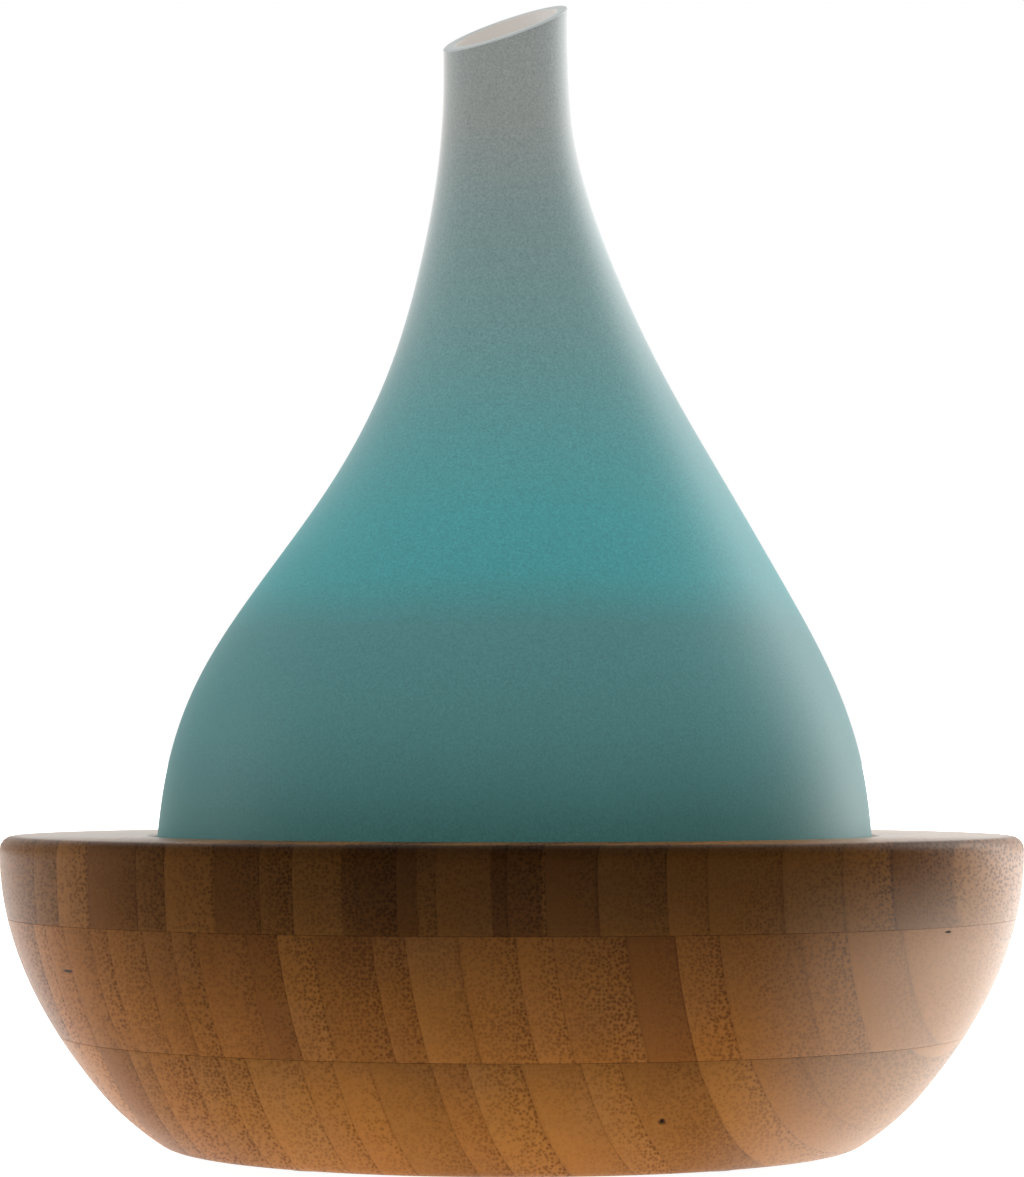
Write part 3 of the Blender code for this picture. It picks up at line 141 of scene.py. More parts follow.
class Graph:
    """A node tree and the ways that this script adds to it."""

    INPUTS = {
        "colour": "Base Color",
        "roughness": "Roughness",
        "metallic": "Metallic",
        "normal": "Normal",
        "glow": "Emission Color",
        "glow_strength": "Emission Strength",
        "coat": "Coat Weight",
        "coat_roughness": "Coat Roughness",
        "specular": "Specular IOR Level",
    }

    def __init__(self, tree: bpy.types.NodeTree) -> None:
        """Wraps a node tree.

        Args:
            tree: A material's, world's or geometry tree.
        """
        self.tree = tree

    def node(self, kind: str, settings: Settings = None, values: Inputs = None) -> Node:
        """Adds a node.

        Args:
            kind: The node's type.
            settings: Its properties, set first; "stops" fills a colour ramp.
            values: A number, colour or link for each input, by name or place.

        Returns:
            The node.
        """
        made = self.tree.nodes.new(kind)
        for name, setting in (settings or {}).items():
            if name == "stops":
                self._fill_ramp(made.color_ramp, setting)
            else:
                setattr(made, name, setting)
        for key, given in (values or {}).items():
            socket = made.inputs[key]
            if isinstance(given, Value):
                self.tree.links.new(given.source, socket)
            elif isinstance(given, Socket):
                self.tree.links.new(given, socket)
            else:
                socket.default_value = given
        return made

    @staticmethod
    def _fill_ramp(ramp: bpy.types.ColorRamp, stops: Stops) -> None:
        """Sets a colour ramp's stops.

        Args:
            ramp: The ramp.
            stops: A place and a colour for each stop.
        """
        while len(ramp.elements) < len(stops):
            ramp.elements.new(0.5)
        for element, (place, colour) in zip(ramp.elements, stops):
            element.position = place
            element.color = (*colour, 1.0)

    def value(
        self, kind: str, settings: Settings = None, values: Inputs = None, output: Any = 0
    ) -> Value:
        """Adds a node and gives one of its numbers.

        Args:
            kind: The node's type.
            settings: Its properties.
            values: Its inputs.
            output: Which output, by name or place.

        Returns:
            The output, ready for arithmetic.
        """
        return Value(self, self.node(kind, settings, values).outputs[output])

    def maths(self, operation: str, *terms: Any) -> Value:
        """Adds a Math node.

        Args:
            operation: What it works out.
            terms: Its numbers or values, in order.

        Returns:
            The result.
        """
        return self.value("ShaderNodeMath", {"operation": operation}, dict(enumerate(terms)))

    def vector(self, x: Any, y: Any, z: Any) -> Socket:
        """A vector of three values."""
        return self.node("ShaderNodeCombineXYZ", None, {"X": x, "Y": y, "Z": z}).outputs[0]

    def parts(self, vector: Socket) -> tuple[Value, Value, Value]:
        """The three values of a vector."""
        split = self.node("ShaderNodeSeparateXYZ", None, {0: vector})
        return tuple(Value(self, output) for output in split.outputs)

    def mix(self, share: Any, first: Any, second: Any, blend: str = "MIX") -> Socket:
        """Blends two colours.

        Args:
            share: How much of the second.
            first: A colour or its socket.
            second: A colour or its socket.
            blend: How they blend.

        Returns:
            The blend's socket.
        """
        both = [(*c, 1.0) if isinstance(c, tuple) else c for c in (first, second)]
        settings = {"data_type": "RGBA", "blend_type": blend}
        return self.node("ShaderNodeMix", settings, {0: share, 6: both[0], 7: both[1]}).outputs[2]

    def shaded(self, colour: Any, factor: Value) -> Socket:
        """A colour made lighter or darker.

        Args:
            colour: The colour or its socket.
            factor: What it is multiplied by.

        Returns:
            The result's socket.
        """
        return self.mix(1.0, colour, self.vector(factor, factor, factor), "MULTIPLY")

    def stained(self, share: Any, colour: Any, stain: Colour) -> Socket:
        """A colour with a stain multiplied in, to the share given."""
        return self.mix(share, colour, stain, "MULTIPLY")

    def ramped(self, stops: Stops, at: Value) -> Socket:
        """The colour of a ramp at a value."""
        return self.node("ShaderNodeValToRGB", {"stops": stops}, {0: at}).outputs[0]

    def edge_on(self) -> Value:
        """How far the surface turns away from the eye, from zero to one."""
        return self.value("ShaderNodeLayerWeight", None, {"Blend": 0.5}, "Facing")

    def noise(
        self, vector: Socket, scale: float, detail: float = 2.0, roughness: float = 0.5
    ) -> Value:
        """Soft noise from zero to one.

        Args:
            vector: Where it is read.
            scale: Waves for each metre.
            detail: How many finer layers.
            roughness: How strong the finer layers are.

        Returns:
            The noise.
        """
        values = {"Vector": vector, "Scale": scale, "Detail": detail, "Roughness": roughness}
        return self.value("ShaderNodeTexNoise", None, values)

    def cells(self, vector: Socket, scale: float, scatter: float = 1.0) -> Value:
        """The distance to the nearest of scattered points.

        Args:
            vector: Where it is read.
            scale: Points for each metre.
            scatter: How irregular they are.

        Returns:
            The distance, in cells.
        """
        values = {"Vector": vector, "Scale": scale, "Randomness": scatter}
        return self.value("ShaderNodeTexVoronoi", None, values)

    def feed(self, **values: Any) -> None:
        """Sets or links inputs of the surface shader.

        Args:
            values: What each input takes, by its short name.
        """
        shader = self.tree.nodes["Principled BSDF"]
        for key, given in values.items():
            socket = shader.inputs[self.INPUTS[key]]
            source = given.source if isinstance(given, Value) else given
            if isinstance(source, Socket):
                self.tree.links.new(source, socket)
            else:
                socket.default_value = (*source, 1.0) if isinstance(source, tuple) else source

    def bump(self, height: Value, depth: float, strength: float = 1.0) -> Socket:
        """Bumps in the surface.

        Args:
            height: Their shape, from zero to one.
            depth: Their height in metres.
            strength: How strongly they show.

        Returns:
            The normal's socket.
        """
        values = {"Height": height, "Distance": depth, "Strength": strength}
        return self.node("ShaderNodeBump", None, values).outputs[0]


# --------------------------------------------------------------------------------- finishes


@dataclass(frozen=True)
class Finish:
    """A finish that makes its material once, under its own name."""

    name: str

    def material(self) -> bpy.types.Material:
        """The finish's material, made the first time that it is asked for."""
        made = bpy.data.materials.get(self.name)
        if made is None:
            made = bpy.data.materials.new(self.name)
            made.use_nodes = True
            self.dress(Graph(made.node_tree))
        return made

    def dress(self, graph: Graph) -> None:
        """Adds the finish's nodes.

        Args:
            graph: The material's graph.
        """
        raise NotImplementedError

    @staticmethod
    def place(graph: Graph) -> Socket:
        """Object coordinates, in metres."""
        return graph.node("ShaderNodeTexCoord").outputs["Object"]


class Board(Enum):
    """The bowl's three boards, from the table up."""

    BOTTOM = "bottom"
    MIDDLE = "middle"
    TOP = "top"


@dataclass(frozen=True)
class Mark:
    """A small dark flaw in the wood: its middle and how far it reaches along each axis."""

    middle: tuple[float, float, float]
    reach: tuple[float, float, float]


@dataclass(frozen=True)
class Bamboo(Finish):
    """Laminated bamboo under a low-gloss lacquer: strips that run from front to back, each with its own
    tone, and bundles of fibres that show as dots on cut ends and as streaks along the strips. The front
    is painted darker towards the rim, and the right side and the sides of the top face are painted
    paler as a painted sheen and a painted highlight."""

    light: Colour
    dark: Colour
    slant: float  # how far a strip drifts to the right for each metre towards the back
    spread: float  # how far the strips fan out towards the back
    shift: float  # where the first strip starts, in strips
    seed: float
    foot_shade: float  # painted shade: the front's brightness at the foot, against one at the sides
    rim_shade: float  # painted shade: the front's brightness at the rim
    low: float
    high: float
    radius: float
    foot_radius: float
    belly: float
    tuck: float
    tuck_top: float
    strip: float = 0.0077
    strip_unevenness: float = 0.2
    bundle: float = 0.00058
    bundle_length: float = 0.022
    dot_depth: float = 0.43
    band_edge: float = 0.0004
    painted_right_sheen: float = 0.36
    grain_depth: float = 0.00005
    flaw: Colour = (0.012, 0.006, 0.003)
    marks: tuple[Mark, ...] = ()
    dark_strips: tuple[tuple[float, float], ...] = ()

    def from_front(self, x: Value, y: Value) -> Value:
        """Where the strip at a place reaches the front of the bowl.

        Args:
            x: The place's x.
            y: The place's y.

        Returns:
            The x at which that strip starts.
        """
        depth = y + self.radius
        return (x - depth * self.slant) / (depth * self.spread + 1)

    def strips(self, across_front: Value) -> tuple[Value, Value]:
        """Splits the wood into strips of uneven width.

        Args:
            across_front: The place across the front.

        Returns:
            The strip's number, and the share of the way across it.
        """
        across = across_front / self.strip + self.shift
        across = across + (across * 2.3 + self.seed).sine() * self.strip_unevenness
        return across.whole(), across.part()

    def outside(self, reach: Value, z: Value) -> Value:
        """One on the bowl's outer wall, and zero on its other faces.

        Args:
            reach: The distance from the bowl's middle.
            z: The height.

        Returns:
            The mask.
        """
        graph = z.graph
        depth = graph.maths("MAXIMUM", (self.belly - z) / (self.belly - self.low), 0.0)
        low = graph.maths("MAXIMUM", (self.tuck_top - z) / (self.tuck_top - self.low), 0.0)
        wall = self.radius - depth * depth * (self.radius - self.foot_radius) - low * low * self.tuck
        return (reach - wall).ramp(-0.0036, -0.0010)

    def flawed(self, colour: Any, graph: Graph, place: Socket) -> Any:
        """Adds the knot or the cracks.

        Args:
            colour: The wood's colour.
            graph: The material's graph.
            place: Object coordinates.

        Returns:
            The colour with its flaws.
        """
        for mark in self.marks:
            axes = zip(graph.parts(place), mark.middle, mark.reach)
            gap = [(axis - middle) / reach for axis, middle, reach in axes]
            ragged = graph.noise(place, 1500.0, 2.0) * 0.9
            near = (gap[0] * gap[0] + gap[1] * gap[1] + gap[2] * gap[2]).root() + ragged
            colour = graph.mix(near.ramp(1.5, 0.7), colour, self.flaw)
        return colour

    def dress(self, graph: Graph) -> None:
        """Adds the wood's nodes.

        Args:
            graph: The material's graph.
        """
        place = self.place(graph)
        x, y, z = graph.parts(place)
        across_front = self.from_front(x, y)
        number, along = self.strips(across_front)
        one_number = {"noise_dimensions": "1D"}
        chance = graph.node("ShaderNodeTexWhiteNoise", one_number, {"W": number + self.seed})
        tone_chance = Value(graph, chance.outputs["Value"])
        deep_chance, crowd_chance, tint_chance = graph.parts(chance.outputs["Color"])

        drift = graph.noise(graph.vector(x * 60, y * 9, z * 60 + self.seed), 1.0, 3.0)
        fibre = graph.vector(x / self.bundle, y / self.bundle_length, z / self.bundle + number * 7)
        coarse = graph.cells(fibre, 1.0, 0.85)
        fine = graph.cells(graph.vector(x * 2300, y * 90, z * 2300), 1.0, 0.9)
        patch = graph.noise(graph.vector(x * 140, y * 20, z * 140 + self.seed), 1.0, 2.0)
        crowding = along**1.6 * 0.45 + patch.ramp(0.45, 0.75) * 0.30 + 0.48
        showing = (crowd_chance.ramp(0.1, 0.95) * 0.5 + 0.5) * crowding
        dots = coarse.ramp(0.55, 0.2) * showing
        specks = fine.ramp(0.5, 0.15) * (0.08 + along * 0.08)
        halo = coarse.ramp(0.4, 0.8) * showing * 0.3
        streaks = graph.noise(graph.vector(x * 900, y * 12, z * 900), 1.0, 2.0)

        tone = tone_chance * 0.42 + drift * 0.5 + streaks * 0.12 + along * -0.2 + 0.14
        tone = tone - dots * self.dot_depth - specks + halo
        colour = graph.mix(tone.ramp(-0.25, 1.05), self.dark, self.light)
        colour = graph.stained(tint_chance * 0.3, colour, (1.0, 0.83, 0.66))
        colour = graph.stained((deep_chance > 0.86) * 0.5, colour, (0.35, 0.27, 0.22))
        dull = graph.noise(graph.vector(x * 75, y * 40, z * 75 - self.seed), 1.0, 3.0).ramp(0.4, 0.7)
        colour = graph.stained(dull * 0.45, colour, (0.92, 1.0, 1.5))
        seam = along.ramp(0.05, 0.0) * 0.5 + along.ramp(0.93, 1.0)
        colour = graph.stained(seam * (0.1 + tone_chance * 0.3), colour, (0.35, 0.26, 0.18))
        for near, far in self.dark_strips:
            band = across_front.ramp(near - self.band_edge, near)
            band = band * across_front.ramp(far + self.band_edge, far)
            colour = graph.stained(band * 0.55, colour, (0.42, 0.33, 0.24))

        height = (z - self.low) / (self.high - self.low)
        reach = (x * x + y * y).root()
        outer = self.outside(reach, z)
        # Painted shade: the outer wall's front is painted darker from the foot up to the rim, fading
        # out towards the sides.
        front = (0 - y / reach).ramp(0.1, 1.0)
        painted_shade = height.ramp(0.0, 1.0) * (self.rim_shade - self.foot_shade) + self.foot_shade
        colour = graph.shaded(colour, 1 - front * outer * (1 - painted_shade))
        # Painted highlight: the top face is painted paler away from the front; the same mask also adds
        # gloss there.
        top_side = (1 - outer) * (z > self.high - 0.0006) * (1 - front)
        colour = graph.mix(top_side * 0.35, colour, (0.86, 0.62, 0.36))
        # Painted sheen: the outer wall is painted paler towards its right side, fading out towards the
        # rim.
        right = (x / reach).ramp(0.4, 1.0) * outer * height.ramp(0.98, 0.60)
        colour = graph.mix(right * self.painted_right_sheen, colour, (0.74, 0.64, 0.54))
        colour = self.flawed(colour, graph, place)

        edge = graph.edge_on().ramp(0.3, 1.0)
        grain = dots * -0.6 + streaks * 0.3 - seam * 0.5 + graph.noise(place, 1800.0, 2.0) * 0.25
        graph.feed(
            colour=colour,
            roughness=streaks * 0.08 + dots * 0.12 + 0.36,
            normal=graph.bump(grain, self.grain_depth, 0.6),
            coat=edge * ((1 - front * 0.75) * 0.42 + top_side * 0.58),
            coat_roughness=0.3,
            specular=0.03,
        )


@dataclass(frozen=True)
class FrostedGlass(Finish):
    """Frosted glass whose light from the lamps inside is painted on as a glow: clear grey at the spout,
    brightest teal above the inner cover, deeper teal below it, and painted paler towards its outline by
    a rim glow."""

    foot: float
    top: float
    glow: Stops
    rim: Stops
    body: Colour = (0.05, 0.11, 0.115)
    frost_depth: float = 0.00004

    def dress(self, graph: Graph) -> None:
        """Adds the glass's nodes.

        Args:
            graph: The material's graph.
        """
        place = self.place(graph)
        z = graph.parts(place)[2]
        cloud = graph.noise(place, 28.0, 2.0)
        height = (z - self.foot) / (self.top - self.foot) + (cloud - 0.5) * 0.02
        grain = graph.noise(place, 2500.0, 2.0, 0.7)
        frost = graph.noise(place, 900.0, 2.0)
        fleck = (grain - 0.5) * 1.15 + (frost - 0.5) * 0.08 + (cloud - 0.5) * 0.12 + 1
        # Painted light: the glow stands for the lamps' light through the glass, and the rim glow, added
        # where the surface turns away from the eye, paints its paler outline.
        bright = graph.shaded(graph.ramped(self.glow, height), fleck)
        bright = graph.mix(graph.edge_on() ** 3.2, bright, graph.ramped(self.rim, height), "ADD")
        graph.feed(
            colour=self.body,
            glow=bright,
            glow_strength=1.0,
            roughness=grain * 0.12 + 0.40,
            normal=graph.bump(grain, self.frost_depth, 0.5),
            specular=0.16,
        )


@dataclass(frozen=True)
class PaleGlass(Finish):
    """The frosted glass's inner wall and lip, painted pale by a glow where light comes through at the
    mouth.
    """

    foot: float
    top: float
    glow: Stops
    frost_depth: float = 0.00004

    def dress(self, graph: Graph) -> None:
        """Adds the nodes of the inner wall.

        Args:
            graph: The material's graph.
        """
        place = self.place(graph)
        z = graph.parts(place)[2]
        height = (z - self.foot) / (self.top - self.foot)
        grain = graph.noise(place, 2600.0, 3.0, 0.7)
        fleck = (grain - 0.5) * 0.2 + 1
        graph.feed(
            colour=graph.mix(grain * 0.15, (0.34, 0.33, 0.32), (0.28, 0.29, 0.28)),
            # Painted light: the glow brightens towards the mouth.
            glow=graph.shaded(graph.ramped(self.glow, height), fleck),
            glow_strength=1.0,
            roughness=grain * 0.1 + 0.4,
            normal=graph.bump(grain, self.frost_depth, 0.5),
        )


@dataclass(frozen=True)
class Moulded(Finish):
    """Moulded plastic or rubber: a fine even texture, faint flow marks and worn-in gloss."""

    colour: Colour
    roughness: float
    texture: float = 1400.0
    depth: float = 0.00003
    glow: float = 0.0
    coat: float = 0.0

    def dress(self, graph: Graph) -> None:
        """Adds the nodes of the plastic.

        Args:
            graph: The material's graph.
        """
        place = self.place(graph)
        cloud = graph.noise(place, 45.0, 3.0)
        texture = graph.noise(place, self.texture, 2.0, 0.6)
        dust = graph.noise(place, 240.0, 4.0).ramp(0.55, 0.8)
        tint = (cloud - 0.5) * 0.16 + (texture - 0.5) * 0.08 + 1
        colour = graph.shaded(self.colour, tint)
        graph.feed(
            colour=graph.mix(dust * 0.05, colour, (0.7, 0.68, 0.64)),
            roughness=cloud * 0.1 + texture * 0.06 + dust * 0.08 + (self.roughness - 0.1),
            normal=graph.bump(texture, self.depth, 0.6),
            coat=self.coat,
        )
        if self.glow:
            graph.feed(glow=self.colour, glow_strength=self.glow)


@dataclass(frozen=True)
class Metal(Finish):
    """Turned or drawn metal: fine rings or lines and faint stains."""

    colour: Colour
    roughness: float
    lines: Place = (400.0, 400.0, 3000.0)  # lines for each metre along each axis
    line_depth: float = 0.00001

    def dress(self, graph: Graph) -> None:
        """Adds the nodes of the metal.

        Args:
            graph: The material's graph.
        """
        place = self.place(graph)
        x, y, z = graph.parts(place)
        stretched = graph.vector(x * self.lines[0], y * self.lines[1], z * self.lines[2])
        drawn = graph.noise(stretched, 1.0, 3.0)
        stain = graph.noise(place, 160.0, 4.0)
        tint = (drawn - 0.5) * 0.2 + (stain - 0.5) * 0.25 + 0.97
        graph.feed(
            colour=graph.shaded(self.colour, tint),
            metallic=1.0,
            roughness=drawn * 0.15 + stain * 0.1 + (self.roughness - 0.1),
            normal=graph.bump(drawn, self.line_depth, 0.5),
        )


@dataclass(frozen=True)
class Winding(Finish):
    """Enamelled wire wound in even turns, with painted shade in the grooves between them."""

    colour: Colour
    groove: Colour = (0.12, 0.035, 0.01)
    pitch: float = 0.0004
    groove_depth: float = 0.0001

    def dress(self, graph: Graph) -> None:
        """Adds the nodes of the winding.

        Args:
            graph: The material's graph.
        """
        place = self.place(graph)
        z = graph.parts(place)[2]
        turn = (z * (math.tau / self.pitch)).sine() * 0.5 + 0.5
        graph.feed(
            colour=graph.mix(turn, self.groove, self.colour),
            metallic=0.85,
            roughness=graph.noise(place, 300.0) * 0.15 + 0.28,
            normal=graph.bump(turn, self.groove_depth, 0.8),
            coat=0.4,
        )


@dataclass(frozen=True)
class Laminate(Finish):
    """A circuit board's lacquered face, with tracks and tinned pads under the lacquer."""

    colour: Colour
    track: Colour
    tin: Colour = (0.62, 0.62, 0.60)
    pitch: float = 0.0025
    track_depth: float = 0.00004

    def dress(self, graph: Graph) -> None:
        """Adds the nodes of the board.

        Args:
            graph: The material's graph.
        """
        place = self.place(graph)
        x, y, z = graph.parts(place)
        wander = graph.noise(place, 90.0, 1.0)
        lane = ((x + wander * 0.004) / self.pitch).part()
        cross = ((y + z + wander * 0.003) / (self.pitch * 1.7)).part()
        tracks = (lane - 0.5).size().ramp(0.16, 0.11) * wander.ramp(0.35, 0.5)
        pads = graph.cells(place, 1 / (self.pitch * 1.4), 0.35).ramp(0.2, 0.15) * (cross > 0.5)
        colour = graph.mix(tracks * 0.7, self.colour, self.track)
        graph.feed(
            colour=graph.mix(pads, colour, self.tin),
            metallic=pads,
            roughness=graph.noise(place, 500.0) * 0.2 + 0.25,
            normal=graph.bump(tracks + pads, self.track_depth, 0.8),
            coat=0.3,
        )


@dataclass(frozen=True)
class Floor(Finish):
    """A matt pale tabletop that glows evenly, with painted light raising its glow behind the bowl and
    to the right.
    """

    colour: Colour = (0.55, 0.55, 0.55)
    cloud: Colour = (0.70, 0.70, 0.70)

    def dress(self, graph: Graph) -> None:
        """Adds the nodes of the tabletop.

        Args:
            graph: The material's graph.
        """
        place = self.place(graph)
        x, y, _ = graph.parts(place)
        colour = graph.mix(graph.noise(place, 6.0, 2.0) * 0.04, self.colour, self.cloud)
        # Painted light: the floor's glow is raised behind the bowl and to its right.
        behind = y.ramp(-0.08, 0.20) * 0.35
        glow = behind + x.ramp(0.05, 0.30) * y.ramp(-0.2, 0.05) * 0.8 + 0.92
        graph.feed(
            colour=colour,
            roughness=0.9,
            glow=graph.vector(glow, glow, glow),
            glow_strength=1.0,
            specular=0.1,
        )


STEEL = Metal("steel", (0.62, 0.62, 0.63), 0.3)
BRONZE = Metal("bronze", (0.60, 0.38, 0.18), 0.38)
ALUMINIUM = Metal("aluminium", (0.62, 0.63, 0.64), 0.42, (3000.0, 400.0, 400.0))
DISC_METAL = Metal("disc metal", (0.78, 0.74, 0.66), 0.24, (900.0, 900.0, 900.0))
COPPER = Winding("copper", (0.72, 0.30, 0.12))
TANK_PLASTIC = Moulded("tank plastic", (0.78, 0.81, 0.80), 0.38)
# The inner cover's glow is painted light from the lamps beneath it.
COVER_PLASTIC = Moulded("inner cover plastic", (0.74, 0.79, 0.79), 0.33, glow=0.10, coat=0.2)
CLAMP_PLASTIC = Moulded("clamp plastic", (0.68, 0.69, 0.68), 0.45)
DUCT_PLASTIC = Moulded("duct plastic", (0.62, 0.63, 0.62), 0.48)
FLOAT_PLASTIC = Moulded("float plastic", (0.82, 0.82, 0.80), 0.55, 2400.0, 0.00006)
BASE_PLASTIC = Moulded("base plastic", (0.045, 0.043, 0.041), 0.52, 1100.0, 0.00006)
BEZEL_PLASTIC = Moulded("bezel plastic", (0.040, 0.036, 0.032), 0.42, 1500.0, 0.00005)
BUTTON_PLASTIC = Moulded("button plastic", (0.66, 0.66, 0.65), 0.36, coat=0.3)
SOCKET_PLASTIC = Moulded("socket plastic", (0.018, 0.018, 0.018), 0.38)
FAN_PLASTIC = Moulded("fan plastic", (0.028, 0.028, 0.030), 0.42)
RUBBER = Moulded("foot rubber", (0.030, 0.030, 0.030), 0.78, 900.0, 0.00008)
SILICONE = Moulded("silicone", (0.62, 0.62, 0.60), 0.55)
EPOXY = Moulded("epoxy", (0.022, 0.022, 0.022), 0.45)
FERRITE = Moulded("ferrite", (0.05, 0.05, 0.055), 0.6, 700.0, 0.00008)
SLEEVE = Moulded("capacitor sleeve", (0.035, 0.05, 0.13), 0.30, coat=0.4)
SENSOR_GLASS = Moulded("sensor glass", (0.08, 0.14, 0.10), 0.2, coat=0.6)
RED_SHEATH = Moulded("red sheath", (0.42, 0.03, 0.02), 0.5)
BLACK_SHEATH = Moulded("black sheath", (0.025, 0.025, 0.025), 0.5)
LAMP_RESIN = Moulded("lamp resin", (0.35, 0.85, 0.85), 0.25, glow=1.2, coat=0.5)
LAMP_BODY = Moulded("lamp body", (0.80, 0.80, 0.78), 0.4)
GREEN_BOARD = Laminate("green board", (0.010, 0.10, 0.045), (0.03, 0.20, 0.09))
WHITE_BOARD = Laminate("white board", (0.74, 0.75, 0.73), (0.60, 0.62, 0.60))


# -------------------------------------------------------------------------- geometry rules


class GeometryRule:
    """A Geometry Nodes tree with named inputs, run on an object and then taken off it."""

    KINDS = {int: "Int", float: "Float", "material": "Material", "object": "Object"}

    def __init__(self, name: str, inputs: dict[str, Any]) -> None:
        """Makes an empty tree, which always has the input "Finish".

        Args:
            name: The tree's name.
            inputs: The kind of each of its other inputs, by name.
        """
        self.tree = bpy.data.node_groups.new(name, "GeometryNodeTree")
        self.tree.is_modifier = True
        self.graph = Graph(self.tree)
        interface = self.tree.interface
        interface.new_socket("Geometry", in_out="INPUT", socket_type="NodeSocketGeometry")
        interface.new_socket("Geometry", in_out="OUTPUT", socket_type="NodeSocketGeometry")
        self.identifiers: dict[str, str] = {}
        for label, kind in (inputs | {"Finish": "material"}).items():
            socket_type = f"NodeSocket{self.KINDS[kind]}"
            socket = interface.new_socket(label, in_out="INPUT", socket_type=socket_type)
            self.identifiers[label] = socket.identifier
        self.given = self.tree.nodes.new("NodeGroupInput")

    def input(self, label: str) -> Socket:
        """The socket of a named input."""
        return self.given.outputs[label]

    def number(self, label: str) -> Value:
        """A named input, ready for arithmetic."""
        return Value(self.graph, self.input(label))

    def part(self) -> Socket:
        """The geometry of the part that is copied."""
        info = self.graph.node("GeometryNodeObjectInfo", None, {0: self.input("Part")})
        return info.outputs["Geometry"]

    def points(self, place: Socket) -> Socket:
        """As many points as "Count" says, each at its place."""
        values = {"Count": self.input("Count"), "Position": place}
        return self.graph.node("GeometryNodePoints", None, values).outputs[0]

    def end_with_copies(self, points: Socket, **values: Any) -> None:
        """Ends the tree with a copy of the part on each point.

        Args:
            points: The points.
            values: How each copy is turned or scaled.
        """
        values |= {"Points": points, "Instance": self.part()}
        self.end(self.graph.node("GeometryNodeInstanceOnPoints", None, values).outputs[0])

    def end(self, shape: Socket) -> None:
        """Ends the tree with real geometry and its material.

        Args:
            shape: The geometry made so far.
        """
        real = self.graph.node("GeometryNodeRealizeInstances", None, {0: shape}).outputs[0]
        values = {"Geometry": real, "Material": self.input("Finish")}
        dressed = self.graph.node("GeometryNodeSetMaterial", None, values).outputs[0]
        self.graph.node("NodeGroupOutput", None, {"Geometry": dressed})

    def run(self, base: Mesh, **values: Any) -> Mesh:
        """Runs the tree.

        Args:
            base: The mesh that goes in.
            values: The named inputs; an underscore stands for a space.

        Returns:
            A plain mesh.
        """
        holder = bpy.data.objects.new("holder", base)
        bpy.context.scene.collection.objects.link(holder)
        modifier = holder.modifiers.new(self.tree.name, "NODES")
        modifier.node_group = self.tree
        for label, given in values.items():
            modifier[self.identifiers[label.replace("_", " ")]] = given
        made = plain_mesh(holder)
        holder.modifiers.remove(modifier)
        bpy.data.objects.remove(holder)
        return made


def plain_mesh(holder: bpy.types.Object) -> Mesh:
    """The mesh of an object with its modifiers applied."""
    graph = bpy.context.evaluated_depsgraph_get()
    made = bpy.data.meshes.new_from_object(holder.evaluated_get(graph))
    for slot in reversed(range(len(made.materials))):
        if made.materials[slot] is None:
            made.materials.pop(index=slot)
    return made


def turning_rule() -> GeometryRule:
    """The rule that turns an outline about Z, leans it by its "lean" attribute and slants its
    mouth."""
    inputs = {"Steps": int, "Mouth": float, "Blend": float, "Slope X": float, "Slope Y": float}
    rule = GeometryRule("turned wall", inputs)
    graph = rule.graph
    outline = rule.input("Geometry")
    count = graph.value("GeometryNodeAttributeDomainSize", {"component": "MESH"}, {0: outline})
    steps = rule.number("Steps")
    grid_values = {"Size X": 1.0, "Size Y": 1.0, "Vertices X": steps + 1, "Vertices Y": count}
    grid = graph.node("GeometryNodeMeshGrid", None, grid_values).outputs[0]
    index = graph.value("GeometryNodeInputIndex")
    ring = ((index + 0.5) / count).whole()
    point = index - ring * count
    position = graph.node("GeometryNodeInputPosition").outputs[0]
    settings = {"data_type": "FLOAT_VECTOR", "domain": "POINT"}
    values = {0: outline, 1: position, "Index": point}
    radius, _, height = graph.parts(graph.node("GeometryNodeSampleIndex", settings, values).outputs[0])
    lean = graph.value("GeometryNodeInputNamedAttribute", {"data_type": "FLOAT"}, {0: "lean"})
    settings = {"data_type": "FLOAT", "domain": "POINT"}
    leaned = graph.value("GeometryNodeSampleIndex", settings, {0: outline, 1: lean, "Index": point})
    turn = ring / steps * math.tau
    x = radius * turn.cosine()
    y = radius * turn.sine()
    blend = rule.number("Blend")
    near_mouth = (height - (rule.number("Mouth") - blend)) / blend
    share = graph.maths("MINIMUM", graph.maths("MAXIMUM", near_mouth, 0.0), 1.0)
    rise = share * (x * rule.number("Slope X") + y * rule.number("Slope Y"))
    placed = {"Geometry": grid, "Position": graph.vector(x + leaned, y, height + rise)}
    wall = graph.node("GeometryNodeSetPosition", None, placed).outputs[0]
    merged = graph.node("GeometryNodeMergeByDistance", None, {"Geometry": wall, "Distance": WELD})
    rule.end(merged.outputs[0])
    return rule


def ring_rule() -> GeometryRule:
    """The rule that sets copies of a part evenly round a circle, each turned to face out."""
    inputs = {"Part": "object", "Count": int, "Radius": float, "Start": float, "Height": float}
    rule = GeometryRule("ring of parts", inputs)
    graph = rule.graph
    index = graph.value("GeometryNodeInputIndex")
    turn = index / rule.number("Count") * math.tau + rule.number("Start")
    radius = rule.number("Radius")
    place = graph.vector(radius * turn.cosine(), radius * turn.sine(), rule.number("Height"))
    facing = graph.node("FunctionNodeEulerToRotation", None, {0: graph.vector(0.0, 0.0, turn)})
    rule.end_with_copies(rule.points(place), Rotation=facing.outputs[0])
    return rule


def placing_rule() -> GeometryRule:
    """The rule that sets a copy of a part on each point of the mesh that goes in."""
    rule = GeometryRule("parts on points", {"Part": "object"})
    rule.end_with_copies(rule.input("Geometry"))
    return rule


